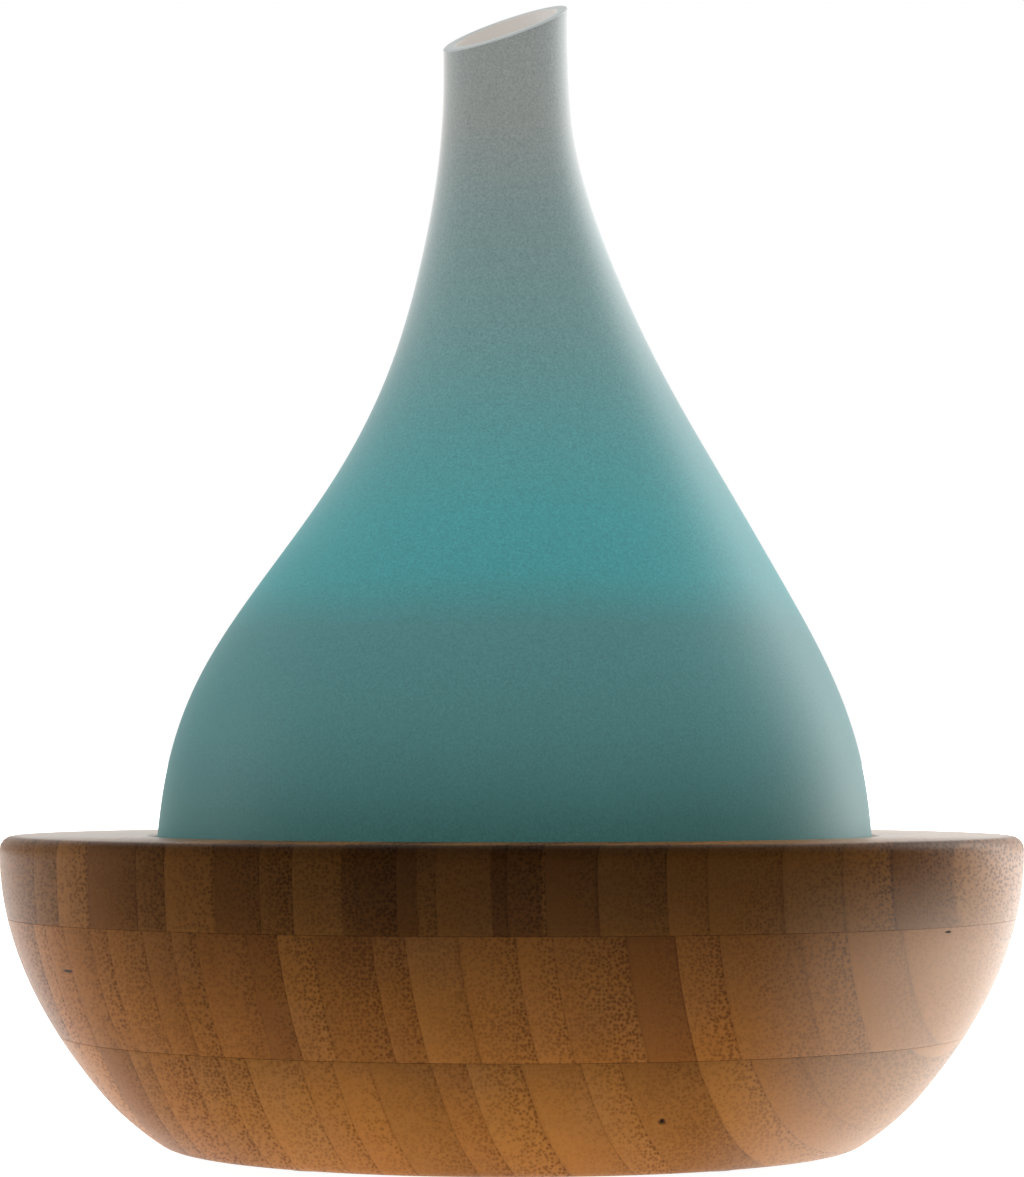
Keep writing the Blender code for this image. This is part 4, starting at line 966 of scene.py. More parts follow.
def slat_rule() -> GeometryRule:
    """The rule that fills a round opening with slats, each as long as the opening is there."""
    inputs = {"Part": "object", "Count": int, "Pitch": float, "Radius": float, "Lap": float}
    rule = GeometryRule("slats in a round opening", inputs)
    graph = rule.graph
    index = graph.value("GeometryNodeInputIndex")
    across = (index - (rule.number("Count") - 1) / 2) * rule.number("Pitch")
    radius = rule.number("Radius")
    reach = (radius * radius - across * across).root() + rule.number("Lap")
    points = rule.points(graph.vector(across, 0.0, 0.0))
    rule.end_with_copies(points, Scale=graph.vector(1.0, reach, 1.0))
    return rule


TURNING = turning_rule()
RING = ring_rule()
PLACING = placing_rule()
SLATS = slat_rule()


# ---------------------------------------------------------------------------------- shapes


def spline(stations: Sequence[float], values: Sequence[float], at: np.ndarray) -> np.ndarray:
    """Reads a natural cubic spline.

    Args:
        stations: Where its values are given.
        values: The values.
        at: Where it is read.

    Returns:
        Its value at each place.
    """
    x, y = np.asarray(stations, float), np.asarray(values, float)
    step = np.diff(x)
    rows, right = np.eye(len(x)), np.zeros_like(y)
    for i in range(1, len(x) - 1):
        rows[i, i - 1 : i + 2] = step[i - 1], 2 * (step[i - 1] + step[i]), step[i]
        right[i] = 6 * ((y[i + 1] - y[i]) / step[i] - (y[i] - y[i - 1]) / step[i - 1])
    bend = np.linalg.solve(rows, right)
    k = np.clip(np.searchsorted(x, at) - 1, 0, len(step) - 1)
    h, a, b = step[k], x[k + 1] - at, at - x[k]
    near = bend[k] * a**3 / (6 * h) + (y[k] / h - bend[k] * h / 6) * a
    return near + bend[k + 1] * b**3 / (6 * h) + (y[k + 1] / h - bend[k + 1] * h / 6) * b


def rounded(points: Outline, steps: int = 4) -> list[tuple[float, float]]:
    """Rounds the corners of a closed outline.

    Args:
        points: Its corners; a third number is that corner's radius.
        steps: How many points more than one each arc has.

    Returns:
        The outline with its arcs.
    """
    made = []
    for i, (x, y, *radius) in enumerate(points):
        corner = Vector((x, y))
        if not radius:
            made.append((x, y))
            continue
        before = (Vector(points[i - 1][:2]) - corner).normalized()
        after = (Vector(points[(i + 1) % len(points)][:2]) - corner).normalized()
        half = before.angle(after) / 2
        if half > STRAIGHT:
            made.append((x, y))
            continue
        centre = corner + (before + after).normalized() * (radius[0] / math.sin(half))
        start = corner + before * (radius[0] / math.tan(half)) - centre
        end = corner + after * (radius[0] / math.tan(half)) - centre
        sweep = start.angle_signed(end)
        for k in range(steps + 1):
            made.append(tuple(centre + Matrix.Rotation(-sweep * k / steps, 2) @ start))
    return made


def outward(mesh: Mesh) -> Mesh:
    """Turns a closed mesh's faces outwards, and drops what has no area."""
    bm = bmesh.new()
    bm.from_mesh(mesh)
    bmesh.ops.dissolve_degenerate(bm, dist=1e-6, edges=bm.edges)
    bmesh.ops.recalc_face_normals(bm, faces=bm.faces)
    bm.to_mesh(mesh)
    bm.free()
    return mesh


def turned(
    outline: Outline,
    finish: Finish,
    steps: int = 96,
    at: Place = (0.0, 0.0, 0.0),
    leans: Sequence[float] = (),
    **mouth: float,
) -> Mesh:
    """Turns a closed outline about Z.

    Args:
        outline: Radius and height of each corner, with a rounding where there is one.
        finish: What it is made of.
        steps: Faces round it.
        at: Where its axis stands.
        leans: How far each point of the finished outline leans along X.
        mouth: The turning rule's inputs for a slanted mouth.

    Returns:
        The closed mesh.
    """
    points = rounded(outline)
    points = points + points[:1]
    base = bpy.data.meshes.new("outline")
    base.from_pydata([(r, 0, z) for r, z in points], [(i, i + 1) for i in range(len(points) - 1)], [])
    lean = base.attributes.new("lean", "FLOAT", "POINT")
    lean.data.foreach_set("value", [*leans, *leans[:1]] if len(leans) else [0.0] * len(points))
    values = {"Mouth": 1.0, "Blend": 0.1, "Slope_X": 0.0, "Slope_Y": 0.0} | mouth
    mesh = outward(TURNING.run(base, Steps=steps, Finish=finish.material(), **values))
    mesh.transform(Matrix.Translation(at))
    return mesh


def bar(
    radius: float,
    low: float,
    high: float,
    finish: Finish,
    at: tuple[float, float] = (0, 0),
    steps: int = 32,
) -> Mesh:
    """A plain round bar along Z, to cut or join with.

    Args:
        radius: Its radius.
        low: Its lower end.
        high: Its upper end.
        finish: What it is made of.
        at: Where it stands.
        steps: Faces round it.

    Returns:
        The mesh.
    """
    return turned([(0, low), (radius, low), (radius, high), (0, high)], finish, steps, (*at, 0.0))


def slab(
    size: tuple[float, float],
    low: float,
    high: float,
    finish: Finish,
    corner: float = 0.0,
    edge: float = 0.0,
) -> Mesh:
    """A plate centred on Z, with rounded corners and eased edges.

    Args:
        size: Its width and depth.
        low: Its lower face.
        high: Its upper face.
        finish: What it is made of.
        corner: The rounding of its four corners.
        edge: The rounding of its upper and lower edges.

    Returns:
        The mesh.
    """
    x, y = size[0] / 2, size[1] / 2
    corners = [(-x, -y), (x, -y), (x, y), (-x, y)]
    if corner:
        corners = rounded([point + (corner,) for point in corners], 8)
    bm = bmesh.new()
    face = bm.faces.new([bm.verts.new((*point, low)) for point in corners])
    raised = bmesh.ops.extrude_face_region(bm, geom=[face])["geom"]
    top = [item for item in raised if isinstance(item, bmesh.types.BMVert)]
    bmesh.ops.translate(bm, verts=top, vec=(0, 0, high - low))
    bmesh.ops.recalc_face_normals(bm, faces=bm.faces)
    if edge:
        rims = [e for e in bm.edges if abs(e.verts[0].co.z - e.verts[1].co.z) < 1e-9]
        settings = {"segments": 4, "profile": 0.5, "affect": "EDGES", "clamp_overlap": True}
        bmesh.ops.bevel(bm, geom=rims, offset=edge, **settings)
    mesh = bpy.data.meshes.new("slab")
    bm.to_mesh(mesh)
    bm.free()
    mesh.materials.append(finish.material())
    return mesh


def moved(mesh: Mesh, x: float = 0.0, y: float = 0.0, z: float = 0.0) -> Mesh:
    """The mesh at another place."""
    mesh.transform(Matrix.Translation((x, y, z)))
    return mesh


def spun(mesh: Mesh, matrix: Matrix) -> Mesh:
    """The mesh after a rotation."""
    mesh.transform(matrix)
    return mesh


def together(meshes: Iterable[Mesh]) -> Mesh:
    """Several meshes as one, with their materials.

    Args:
        meshes: The meshes.

    Returns:
        One mesh.
    """
    made = bpy.data.meshes.new("together")
    bm = bmesh.new()
    for mesh in meshes:
        slots = []
        for material in mesh.materials:
            if material.name not in made.materials:
                made.materials.append(material)
            slots.append(made.materials.find(material.name))
        first = len(bm.faces)
        bm.from_mesh(mesh)
        bm.faces.ensure_lookup_table()
        for face in bm.faces[first:]:
            face.material_index = slots[face.material_index] if slots else 0
    bm.to_mesh(made)
    bm.free()
    return made


def carved(
    mesh: Mesh, tools: Sequence[Mesh], operation: str = "DIFFERENCE"
) -> Mesh:
    """Cuts shapes from a mesh, or joins them to it.

    Args:
        mesh: The mesh.
        tools: The shapes, which don't touch each other.
        operation: The Boolean's operation.

    Returns:
        The result.
    """
    holder = bpy.data.objects.new("work", mesh)
    helper = bpy.data.objects.new("tool", together(tools))
    for item in (holder, helper):
        bpy.context.scene.collection.objects.link(item)
    modifier = holder.modifiers.new("cut", "BOOLEAN")
    modifier.operation = operation
    modifier.solver = "EXACT"
    modifier.object = helper
    made = plain_mesh(holder)
    for item in (holder, helper):
        bpy.data.objects.remove(item)
    return made


def around(count: int, radius: float, start: float = 0.0) -> list[tuple[float, float]]:
    """Places evenly round the middle, as (x, y)."""
    angles = [math.radians(start) + math.tau * k / count for k in range(count)]
    return [(radius * math.cos(angle), radius * math.sin(angle)) for angle in angles]


def repeated(
    rule: GeometryRule,
    part: Mesh,
    finish: Finish,
    base: Mesh | None = None,
    **values: Any,
) -> Mesh:
    """Runs a rule that sets copies of a part.

    Args:
        rule: The rule.
        part: The part that is copied.
        finish: What the copies are made of.
        base: The mesh that goes in, where the rule reads one.
        values: The rule's other inputs.

    Returns:
        The copies, as one mesh.
    """
    prototype = bpy.data.objects.new("part", part)
    bpy.context.scene.collection.objects.link(prototype)
    base = base or bpy.data.meshes.new("nothing")
    made = rule.run(base, Part=prototype, Finish=finish.material(), **values)
    bpy.data.objects.remove(prototype)
    return made


def on_points(part: Mesh, places: Sequence[Place], finish: Finish) -> Mesh:
    """Copies of a part on given points.

    Args:
        part: The part.
        places: Where its copies stand.
        finish: What they are made of.

    Returns:
        The copies, as one mesh.
    """
    base = bpy.data.meshes.new("places")
    base.from_pydata(places, [], [])
    return repeated(PLACING, part, finish, base)


def pan_screw(shank: float, head: float, rise: float, length: float, finish: Finish) -> Mesh:
    """A pan-head screw that points up, its head below z = 0 with a cross recess.

    Args:
        shank: Its shank's radius.
        head: Its head's radius.
        rise: Its head's height.
        length: How far the shank reaches.
        finish: What it is made of.

    Returns:
        The mesh.
    """
    outline = [
        (0, -rise), (head * 0.7, -rise, rise * 0.2), (head, -rise * 0.45, rise * 0.3), (head, 0),
        (shank, 0), (shank, length * 0.88), (0, length),
    ]
    body = turned(outline, finish, 28)
    arm = (head * 1.15, head * 0.28)
    for size in (arm, arm[::-1]):
        body = carved(body, [slab(size, -rise - 0.001, -rise * 0.45, finish)])
    return body


def keep(
    name: str, mesh: Mesh, stands_for: Sequence[str], body: str = "base"
) -> None:
    """Puts a finished piece in the scene.

    Args:
        name: The piece's name.
        mesh: Its mesh, in place and with its materials.
        stands_for: The part's nodes that it replaces.
        body: The body that it rides on.
    """
    mesh.name = name
    mesh.shade_smooth()
    mesh.set_sharp_from_angle(angle=SHARP)
    made = bpy.data.objects.new(name, mesh)
    bpy.context.scene.collection.objects.link(made)
    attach(made, body)
    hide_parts(*stands_for)
    nodes = ", ".join(stands_for)
    LOG.info("%s rides on %s, %d faces, for %s", name, body, len(mesh.polygons), nodes)


def dress(finish: Finish, *nodes: str) -> None:
    """Gives nodes of the part a better finish.

    Args:
        finish: The finish.
        nodes: The nodes' names.
    """
    for name in nodes:
        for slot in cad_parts[name].material_slots:
            slot.material = finish.material()
        LOG.info("%s keeps its solid, in %s", name, finish.name)


# --------------------------------------------------------------------------- sub-assemblies

GAP = 0.0003  # between two faces that rest on each other
PAST = 0.001  # how far a cutting shape reaches past what it cuts


def middle_of(node: str) -> Vector:
    """The middle of a node's box."""
    low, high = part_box(node)
    return (low + high) / 2


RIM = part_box("bamboo_top_board")[1].z
BOWL_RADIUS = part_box("bamboo_top_board")[1].x
FAN_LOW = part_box("fan_housing")[0].z
FAN_Y = middle_of("fan_housing").y
SMALL_SCREW = (0.001, 0.0021, 0.0011)  # shank, head, rise of the head


@dataclass
class BambooBowl:
    """The bowl: three laminated boards, glued and turned as one, with a hairline at each joint."""

    radius: float = BOWL_RADIUS
    foot_radius: float = 0.0593
    foot_rounding: float = 0.006
    foot_step: float = 0.0012  # from the underside to the wall's first point
    tuck: float = 0.0022
    tuck_top: float = 0.010
    underside: float = 0.001
    joint_low: float = 0.0198
    joint_high: float = 0.0391
    belly: float = 0.0503
    rim: float = RIM
    opening: float = 0.0607
    ledge: float = 0.046
    top_bore: float = 0.0555
    middle_bore: float = 0.058
    bottom_bore: float = 0.0515
    rebate: float = 0.0545
    rebate_top: float = 0.0045
    joint_ease: float = 0.00005
    joint_gap: float = 0.00002
    steps: int = 224
    ease: float = 0.0004
    rim_ease: float = 0.00225
    opening_ease: float = 0.0007
    pocket: tuple[float, float] = (0.042, 0.014)
    pocket_corner: float = 0.0033
    pocket_height: float = 0.02945

    def side(self, height: float) -> float:
        """The bowl's outer radius at a height."""
        depth = max(self.belly - height, 0.0) / (self.belly - self.underside)
        low = max(self.tuck_top - height, 0.0) / (self.tuck_top - self.underside)
        return self.radius - (self.radius - self.foot_radius) * depth**2 - self.tuck * low**2

    def wall(self, low: float, high: float, count: int) -> list[tuple[float, float]]:
        """Points up the outer wall between two heights, without its ends."""
        return [(self.side(z), z) for z in np.linspace(low, high, count + 2)[1:-1]]

    def wood(self, board: Board) -> Bamboo:
        """The finish of one board."""
        # Each board's light and dark colours step darker from the bottom board to the top, partly the
        # boards' own tone and partly painted shade.
        looks = {
            Board.BOTTOM: {
                "light": (0.475, 0.195, 0.042),
                "dark": (0.18, 0.062, 0.010),
                "slant": 0.43,
                "spread": -0.5,
                "shift": 0.37,
                "seed": 3.1,
                "foot_shade": 0.88,
                "rim_shade": -0.4,
                "marks": (Mark((0.0228, -0.0642, 0.0103), (0.0007, 0.004, 0.0007)),),
            },
            Board.MIDDLE: {
                "light": (0.425, 0.170, 0.037),
                "dark": (0.145, 0.048, 0.008),
                "slant": 0.41,
                "spread": -2.0,
                "shift": 0.12,
                "seed": 11.7,
                "foot_shade": 0.95,
                "rim_shade": 0.2,
                "marks": (
                    Mark((-0.0699, -0.0419, 0.032), (0.0016, 0.003, 0.00035)),
                    Mark((0.0679, -0.0487, 0.0384), (0.0008, 0.003, 0.00025)),
                ),
            },
            Board.TOP: {
                "light": (0.38, 0.158, 0.034),
                "dark": (0.12, 0.042, 0.006),
                "slant": 0.30,
                "spread": 1.0,
                "shift": 0.30,
                "seed": 23.4,
                "foot_shade": 0.9,
                "rim_shade": 0.2,
                "dark_strips": ((-0.0030, 0.0041), (-0.0263, -0.0146), (0.0500, 0.0560)),
            },
        }
        return Bamboo(
            f"bamboo {board.value} board",
            **looks[board],
            low=self.underside,
            high=self.rim,
            radius=self.radius,
            foot_radius=self.foot_radius,
            belly=self.belly,
            tuck=self.tuck,
            tuck_top=self.tuck_top,
        )

    def build_bottom(self) -> Mesh:
        """The bottom board, with its rounded foot and the rebate for the base cover."""
        top = self.joint_low - self.joint_gap / 2
        outline = [
            (self.rebate, self.underside, self.ease),
            (self.side(self.underside), self.underside, self.foot_rounding),
            *self.wall(self.underside + self.foot_step, top, 26),
            (self.side(top), top, self.joint_ease), (self.bottom_bore, top),
            (self.bottom_bore, self.rebate_top), (self.rebate, self.rebate_top),
        ]
        return turned(outline, self.wood(Board.BOTTOM), self.steps)

    def build_middle(self) -> Mesh:
        """The middle board, with the pocket for the controls."""
        low, high = self.joint_low + self.joint_gap / 2, self.joint_high - self.joint_gap / 2
        outline = [
            (self.side(low), low, self.joint_ease), *self.wall(low, high, 22),
            (self.side(high), high, self.joint_ease), (self.middle_bore, high),
            (self.middle_bore, low),
        ]
        wood = self.wood(Board.MIDDLE)
        pocket = slab(self.pocket, 0, self.radius, wood, self.pocket_corner)
        pocket = moved(spun(pocket, TO_BACK), z=self.pocket_height)
        return carved(turned(outline, wood, self.steps), [pocket])

    def build_top(self) -> Mesh:
        """The top board, with its rounded rim and the ledge that the tank hangs on."""
        low = self.joint_high + self.joint_gap / 2
        outline = [
            (self.side(low), low, self.joint_ease), *self.wall(low, self.belly, 12),
            (self.radius, self.rim, self.rim_ease), (self.opening, self.rim, self.opening_ease),
            (self.opening, self.ledge), (self.top_bore, self.ledge), (self.top_bore, low),
        ]
        return turned(outline, self.wood(Board.TOP), self.steps)

    def build(self) -> None:
        """Builds and dresses the three boards."""
        builders = {
            Board.BOTTOM: self.build_bottom,
            Board.MIDDLE: self.build_middle,
            Board.TOP: self.build_top,
        }
        for board, make in builders.items():
            keep(f"{board.value}_board", make(), [f"bamboo_{board.value}_board"])


@dataclass
class GlassCover:
    """The frosted glass cover, drawn up into a slanted spout and leaning a little as it rises."""

    foot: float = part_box("glass_cover")[0].z
    height: float = 0.1399
    foot_radius: float = 0.0598
    spout_radius: float = 0.0105
    wall: float = 0.0021
    lip: float = 0.0005
    foot_ease: float = 0.0006
    slope_x: float = 0.340
    slope_y: float = 0.31
    blend: float = 0.12  # share of the height over which the mouth's slope fades out
    lip_share: float = 0.97  # share of the height above which a level face is the lip's
    level: float = 0.93  # a face that points less outwards than this is level
    inward: float = -0.6  # a face that points more inwards than this is the inner wall's
    rings: int = 90
    steps: int = 160
    # share of the height, share of the way from the spout's radius to the foot's, sideways lean
    profile: tuple[tuple[float, float, float], ...] = (
        (0.0, 1.0, 0.0004),
        (0.117, 0.958, 0.0005),
        (0.224, 0.851, 0.0007),
        (0.331, 0.673, 0.0016),
        (0.445, 0.465, 0.0027),
        (0.574, 0.265, 0.0023),
        (0.717, 0.111, 0.0007),
        (0.874, 0.012, -0.0008),
        (1.0, 0.0, -0.0011),
    )

    def finishes(self) -> tuple[FrostedGlass, PaleGlass, PaleGlass]:
        """The finishes of the outer wall, the inner wall and the lip."""
        top = self.foot + self.height
        # Painted light: glow colours up the cover, a rim glow for its outline, and glows for the inner
        # wall and the lip.
        glow = (
            (0.0, (0.027, 0.069, 0.060)),
            (0.055, (0.022, 0.075, 0.069)),
            (0.16, (0.035, 0.107, 0.104)),
            (0.27, (0.045, 0.134, 0.134)),
            (0.33, (0.033, 0.196, 0.204)),
            (0.4, (0.037, 0.209, 0.218)),
            (0.5, (0.062, 0.199, 0.203)),
            (0.62, (0.106, 0.184, 0.181)),
            (0.78, (0.152, 0.178, 0.169)),
            (0.88, (0.199, 0.176, 0.161)),
            (1.0, (0.202, 0.176, 0.161)),
        )
        rim = (
            (0.0, (0.01, 0.05, 0.05)),
            (0.35, (0.0, 0.0, 0.0)),
            (0.55, (0.18, 0.12, 0.12)),
            (0.75, (0.57, 0.50, 0.50)),
            (1.0, (0.79, 0.74, 0.73)),
        )
        inside = ((0.0, (0.03, 0.07, 0.07)), (0.8, (0.20, 0.21, 0.20)), (1.0, (0.36, 0.33, 0.30)))
        lip = ((0.0, (0.05, 0.08, 0.08)), (0.8, (0.15, 0.18, 0.18)), (1.0, (0.20, 0.235, 0.235)))
        return (
            FrostedGlass("frosted glass", self.foot, top, glow, rim),
            PaleGlass("frosted glass inside", self.foot, top, inside),
            PaleGlass("frosted glass lip", self.foot, top, lip),
        )

    def outline(self) -> tuple[list[tuple[float, float]], list[float]]:
        """The wall's outline and its lean, up the outside and down the inside.

        Returns:
            The points, and the lean of each.
        """
        shares, widths, leans = np.array(self.profile).T
        at = np.linspace(0, 1, self.rings)
        height = at * self.height
        radius = self.spout_radius + (self.foot_radius - self.spout_radius) * spline(shares, widths, at)
        slope = np.gradient(radius, height)
        length = np.hypot(1, slope)
        inner_radius = radius - self.wall / length
        inner_height = np.clip(height + self.wall * slope / length, 0, self.height)
        inner_height[[0, -1]] = 0, self.height
        outer = [tuple(point) for point in zip(radius, height)]
        inner = [tuple(point) for point in zip(inner_radius, inner_height)][::-1]
        outer[0] += (self.foot_ease,)
        outer[-1] += (self.lip,)
        inner[0] += (self.lip,)
        inner[-1] += (self.foot_ease,)
        points = rounded(outer + inner, 5)
        lean = spline(shares, leans, np.array([z for _, z in points]) / self.height)
        return points, list(lean)

    def surface(self, face: bpy.types.MeshPolygon) -> int:
        """Tells the outer wall, the inner wall and the lip apart.

        Args:
            face: A face of the cover.

        Returns:
            The place of its finish: 0 outside, 1 inside, 2 at the lip.
        """
        shares, _, leans = np.array(self.profile).T
        centre = face.center
        share = (centre.z - self.foot) / self.height
        blend = max(share - 1 + self.blend, 0) / self.blend
        rise = blend * (self.slope_x * centre.x + self.slope_y * centre.y)
        share = min(max((centre.z - self.foot - rise) / self.height, 0.0), 1.0)
        x = centre.x - spline(shares, leans, np.array([share]))[0]
        outwards = (x * face.normal.x + centre.y * face.normal.y) / math.hypot(x, centre.y)
        if outwards < self.inward:
            return 1
        return 2 if share > self.lip_share and abs(outwards) < self.level else 0

    def build(self) -> None:
        """Builds and dresses the cover."""
        points, leans = self.outline()
        finishes = self.finishes()
        mouth = {"Mouth": self.height, "Blend": self.height * self.blend}
        mouth |= {"Slope_X": self.slope_x, "Slope_Y": self.slope_y}
        mesh = turned(points, finishes[0], self.steps, (0, 0, self.foot), leans, **mouth)
        for finish in finishes[1:]:
            mesh.materials.append(finish.material())
        for face in mesh.polygons:
            face.material_index = self.surface(face)
        keep("frosted_cover", mesh, ["glass_cover"], "glass_cover")


@dataclass
class InnerCover:
    """The milky domed cover over the tank, with the nozzle that the mist leaves by."""

    seat: float = 0.0483
    skirt_depth: float = 0.0035
    skirt_radius: float = 0.0476
    radius: float = 0.0465
    wall: float = 0.0016
    flange: float = 0.0525
    flange_thickness: float = 0.0015
    spring: float = 0.0137
    rise: float = 0.024
    nozzle: float = 0.0105
    nozzle_bore: float = 0.0087
    nozzle_height: float = 0.004

    def build(self) -> None:
        """Builds and dresses the inner cover."""
        turn = np.linspace(0, math.pi / 2, 26)
        bore = self.radius - self.wall
        reach, inner_reach = self.radius - self.nozzle, bore - self.nozzle_bore
        crown = self.spring + self.rise
        depth = self.rise - self.wall
        outer = [
            (self.nozzle + reach * math.cos(t), self.spring + self.rise * math.sin(t)) for t in turn
        ]
        inner = [
            (self.nozzle_bore + inner_reach * math.cos(t), self.spring + depth * math.sin(t))
            for t in turn
        ]
        outline = [
            (bore, -self.skirt_depth, 0.0005), (self.skirt_radius, -self.skirt_depth, 0.0004),
            (self.skirt_radius, 0), (self.flange, 0, 0.0004),
            (self.flange, self.flange_thickness, 0.0005),
            (self.radius, self.flange_thickness, 0.0012), *outer[:-1], (self.nozzle, crown, 0.0012),
            (self.nozzle, crown + self.nozzle_height, 0.0006),
            (self.nozzle_bore, crown + self.nozzle_height, 0.0006),
            (self.nozzle_bore, crown - self.wall, 0.001), *inner[::-1][1:],
        ]
        mesh = turned(outline, COVER_PLASTIC, 144, (0, 0, self.seat))
        keep("mist_dome", mesh, ["inner_cover"], "inner_cover")


@dataclass
class WaterTank:
    """The water tank, with the mist maker's seat, the air tower, the float's post, the pegs and
    the screw bosses."""

    flange: tuple[float, float, float] = (0.0603, 0.0463, 0.0480)  # radius, low, top
    rib: tuple[float, float, float] = (0.0546, 0.0562, 0.0515)  # inner and outer radius, top
    inner: float = 0.0482
    radius: float = 0.050
    floor: tuple[float, float] = (0.024, 0.026)
    mist_hole: float = 0.008
    seat_skirt: tuple[float, float, float] = (0.0123, 0.0135, 0.0202)  # radii, low
    tower: tuple[float, float] = (0.0065, 0.0052)  # radius, bore
    tower_y: float = 0.0370
    tower_ends: tuple[float, float] = (0.0165, 0.0520)
    post: tuple[float, float, float] = (0.0024, -0.0380, 0.0442)  # radius, x, top
    peg: float = 0.0026
    peg_circle: float = 0.0165
    boss: float = 0.0035
    boss_low: float = 0.0045
    boss_circle: float = 0.046
    boss_angle: float = 20.0
    screw_hole: tuple[float, float, float] = (0.0017, 0.003, 0.0142)  # radius, low, top

    def build(self) -> None:
        """Builds and dresses the tank."""
        low, top = self.floor
        flange, flange_low, flange_top = self.flange
        rib_in, rib_out, rib_top = self.rib
        outline = [
            (self.mist_hole, low), (self.radius, low, 0.001), (self.radius, flange_low, 0.0006),
            (flange, flange_low), (flange, flange_top, 0.0004), (rib_out, flange_top, 0.0004),
            (rib_out, rib_top, 0.0005), (rib_in, rib_top, 0.0005), (rib_in, flange_top, 0.0004),
            (self.inner, flange_top, 0.0006), (self.inner, top, 0.0022),
            (self.mist_hole, top, 0.0005),
        ]
        tank = turned(outline, TANK_PLASTIC, 144)
        middle = (low + top) / 2
        skirt_in, skirt_out, skirt_low = self.seat_skirt
        skirt = [(skirt_in, skirt_low), (skirt_out, skirt_low), (skirt_out, middle), (skirt_in, middle)]
        radius, bore = self.tower
        tower_low, tower_top = self.tower_ends
        tower = [(0, tower_low), (radius, tower_low), (radius, tower_top, 0.0005), (0, tower_top)]
        post, post_x, post_top = self.post
        added = [
            turned(skirt, TANK_PLASTIC, 64),
            turned(tower, TANK_PLASTIC, 48, (0, self.tower_y, 0)),
            bar(post, middle, post_top, TANK_PLASTIC, (post_x, 0)),
        ]
        for place in around(3, self.peg_circle, 270.0):
            added.append(bar(self.peg, skirt_low, middle, TANK_PLASTIC, place, 24))
        bores = [bar(bore, tower_low - PAST, tower_top + PAST, TANK_PLASTIC, (0, self.tower_y), 48)]
        hole, hole_low, hole_top = self.screw_hole
        for angle in (self.boss_angle, 180 - self.boss_angle, 180 + self.boss_angle, -self.boss_angle):
            place = around(1, self.boss_circle, angle)[0]
            added.append(bar(self.boss, self.boss_low, middle, TANK_PLASTIC, place, 24))
            bores.append(bar(hole, hole_low, hole_top, TANK_PLASTIC, place, 16))
        tank = carved(carved(tank, added, "UNION"), bores)
        keep("tank", tank, ["water_tank"])


@dataclass
class MistMaker:
    """The ultrasonic disc in its seal, held up by the clamp and three screws."""

    disc: float = 0.010
    low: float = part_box("transducer_disc")[0].z
    thickness: float = 0.0009
    dish: tuple[float, float, float] = (0.0062, 0.0066, 0.0002)  # floor, edge, depth
    seal: tuple[float, float] = (0.008, 0.012)
    clamp: tuple[float, float] = (0.007, 0.0198)
    screws: int = 3
    screw_circle: float = 0.0165
    screw_start: float = 270.0
    screw_hole: float = 0.0013

    def build_disc(self) -> Mesh:
        """The disc, with the shallow dish of its electrode."""
        top = self.low + self.thickness
        floor, edge, depth = self.dish
        outline = [
            (0, self.low), (self.disc, self.low, 0.0002), (self.disc, top, 0.0002), (edge, top),
            (floor, top - depth), (0, top - depth),
        ]
        return turned(outline, DISC_METAL, 96)

    def build_seal(self) -> Mesh:
        """The seal, with the groove that holds the disc."""
        low, high = (corner.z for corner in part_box("transducer_seal"))
        groove_low, groove_high = self.low - GAP, self.low + self.thickness + GAP
        inner, outer = self.seal
        outline = [
            (inner, low, 0.0004), (outer, low, 0.0003), (outer, high, 0.0003),
            (inner, high, 0.0004), (inner, groove_high), (self.disc + GAP, groove_high),
            (self.disc + GAP, groove_low), (inner, groove_low),
        ]
        return turned(outline, SILICONE, 96)

    def build(self) -> None:
        """Builds and dresses the mist maker."""
        keep("mist_disc", self.build_disc(), ["transducer_disc"])
        keep("disc_seal", self.build_seal(), ["transducer_seal"])
        low, high = (corner.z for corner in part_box("transducer_clamp"))
        inner, outer = self.clamp
        foot = [(inner, low, 0.0005), (outer, low, 0.0005)]
        outline = [*foot, (outer, high, 0.0003), (inner, high, 0.0003)]
        places = around(self.screws, self.screw_circle, self.screw_start)
        holes = [bar(self.screw_hole, low - PAST, high + PAST, CLAMP_PLASTIC, at, 20) for at in places]
        clamp = carved(turned(outline, CLAMP_PLASTIC, 96), holes)
        keep("clamp_plate", clamp, ["transducer_clamp"])
        screw = pan_screw(*SMALL_SCREW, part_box("clamp_screw_1")[1].z - low + GAP, STEEL)
        values = {"Count": self.screws, "Radius": self.screw_circle}
        values |= {"Start": math.radians(self.screw_start), "Height": low - GAP}
        screws = repeated(RING, screw, STEEL, **values)
        keep("clamp_screws", screws, [f"clamp_screw_{k + 1}" for k in range(self.screws)])


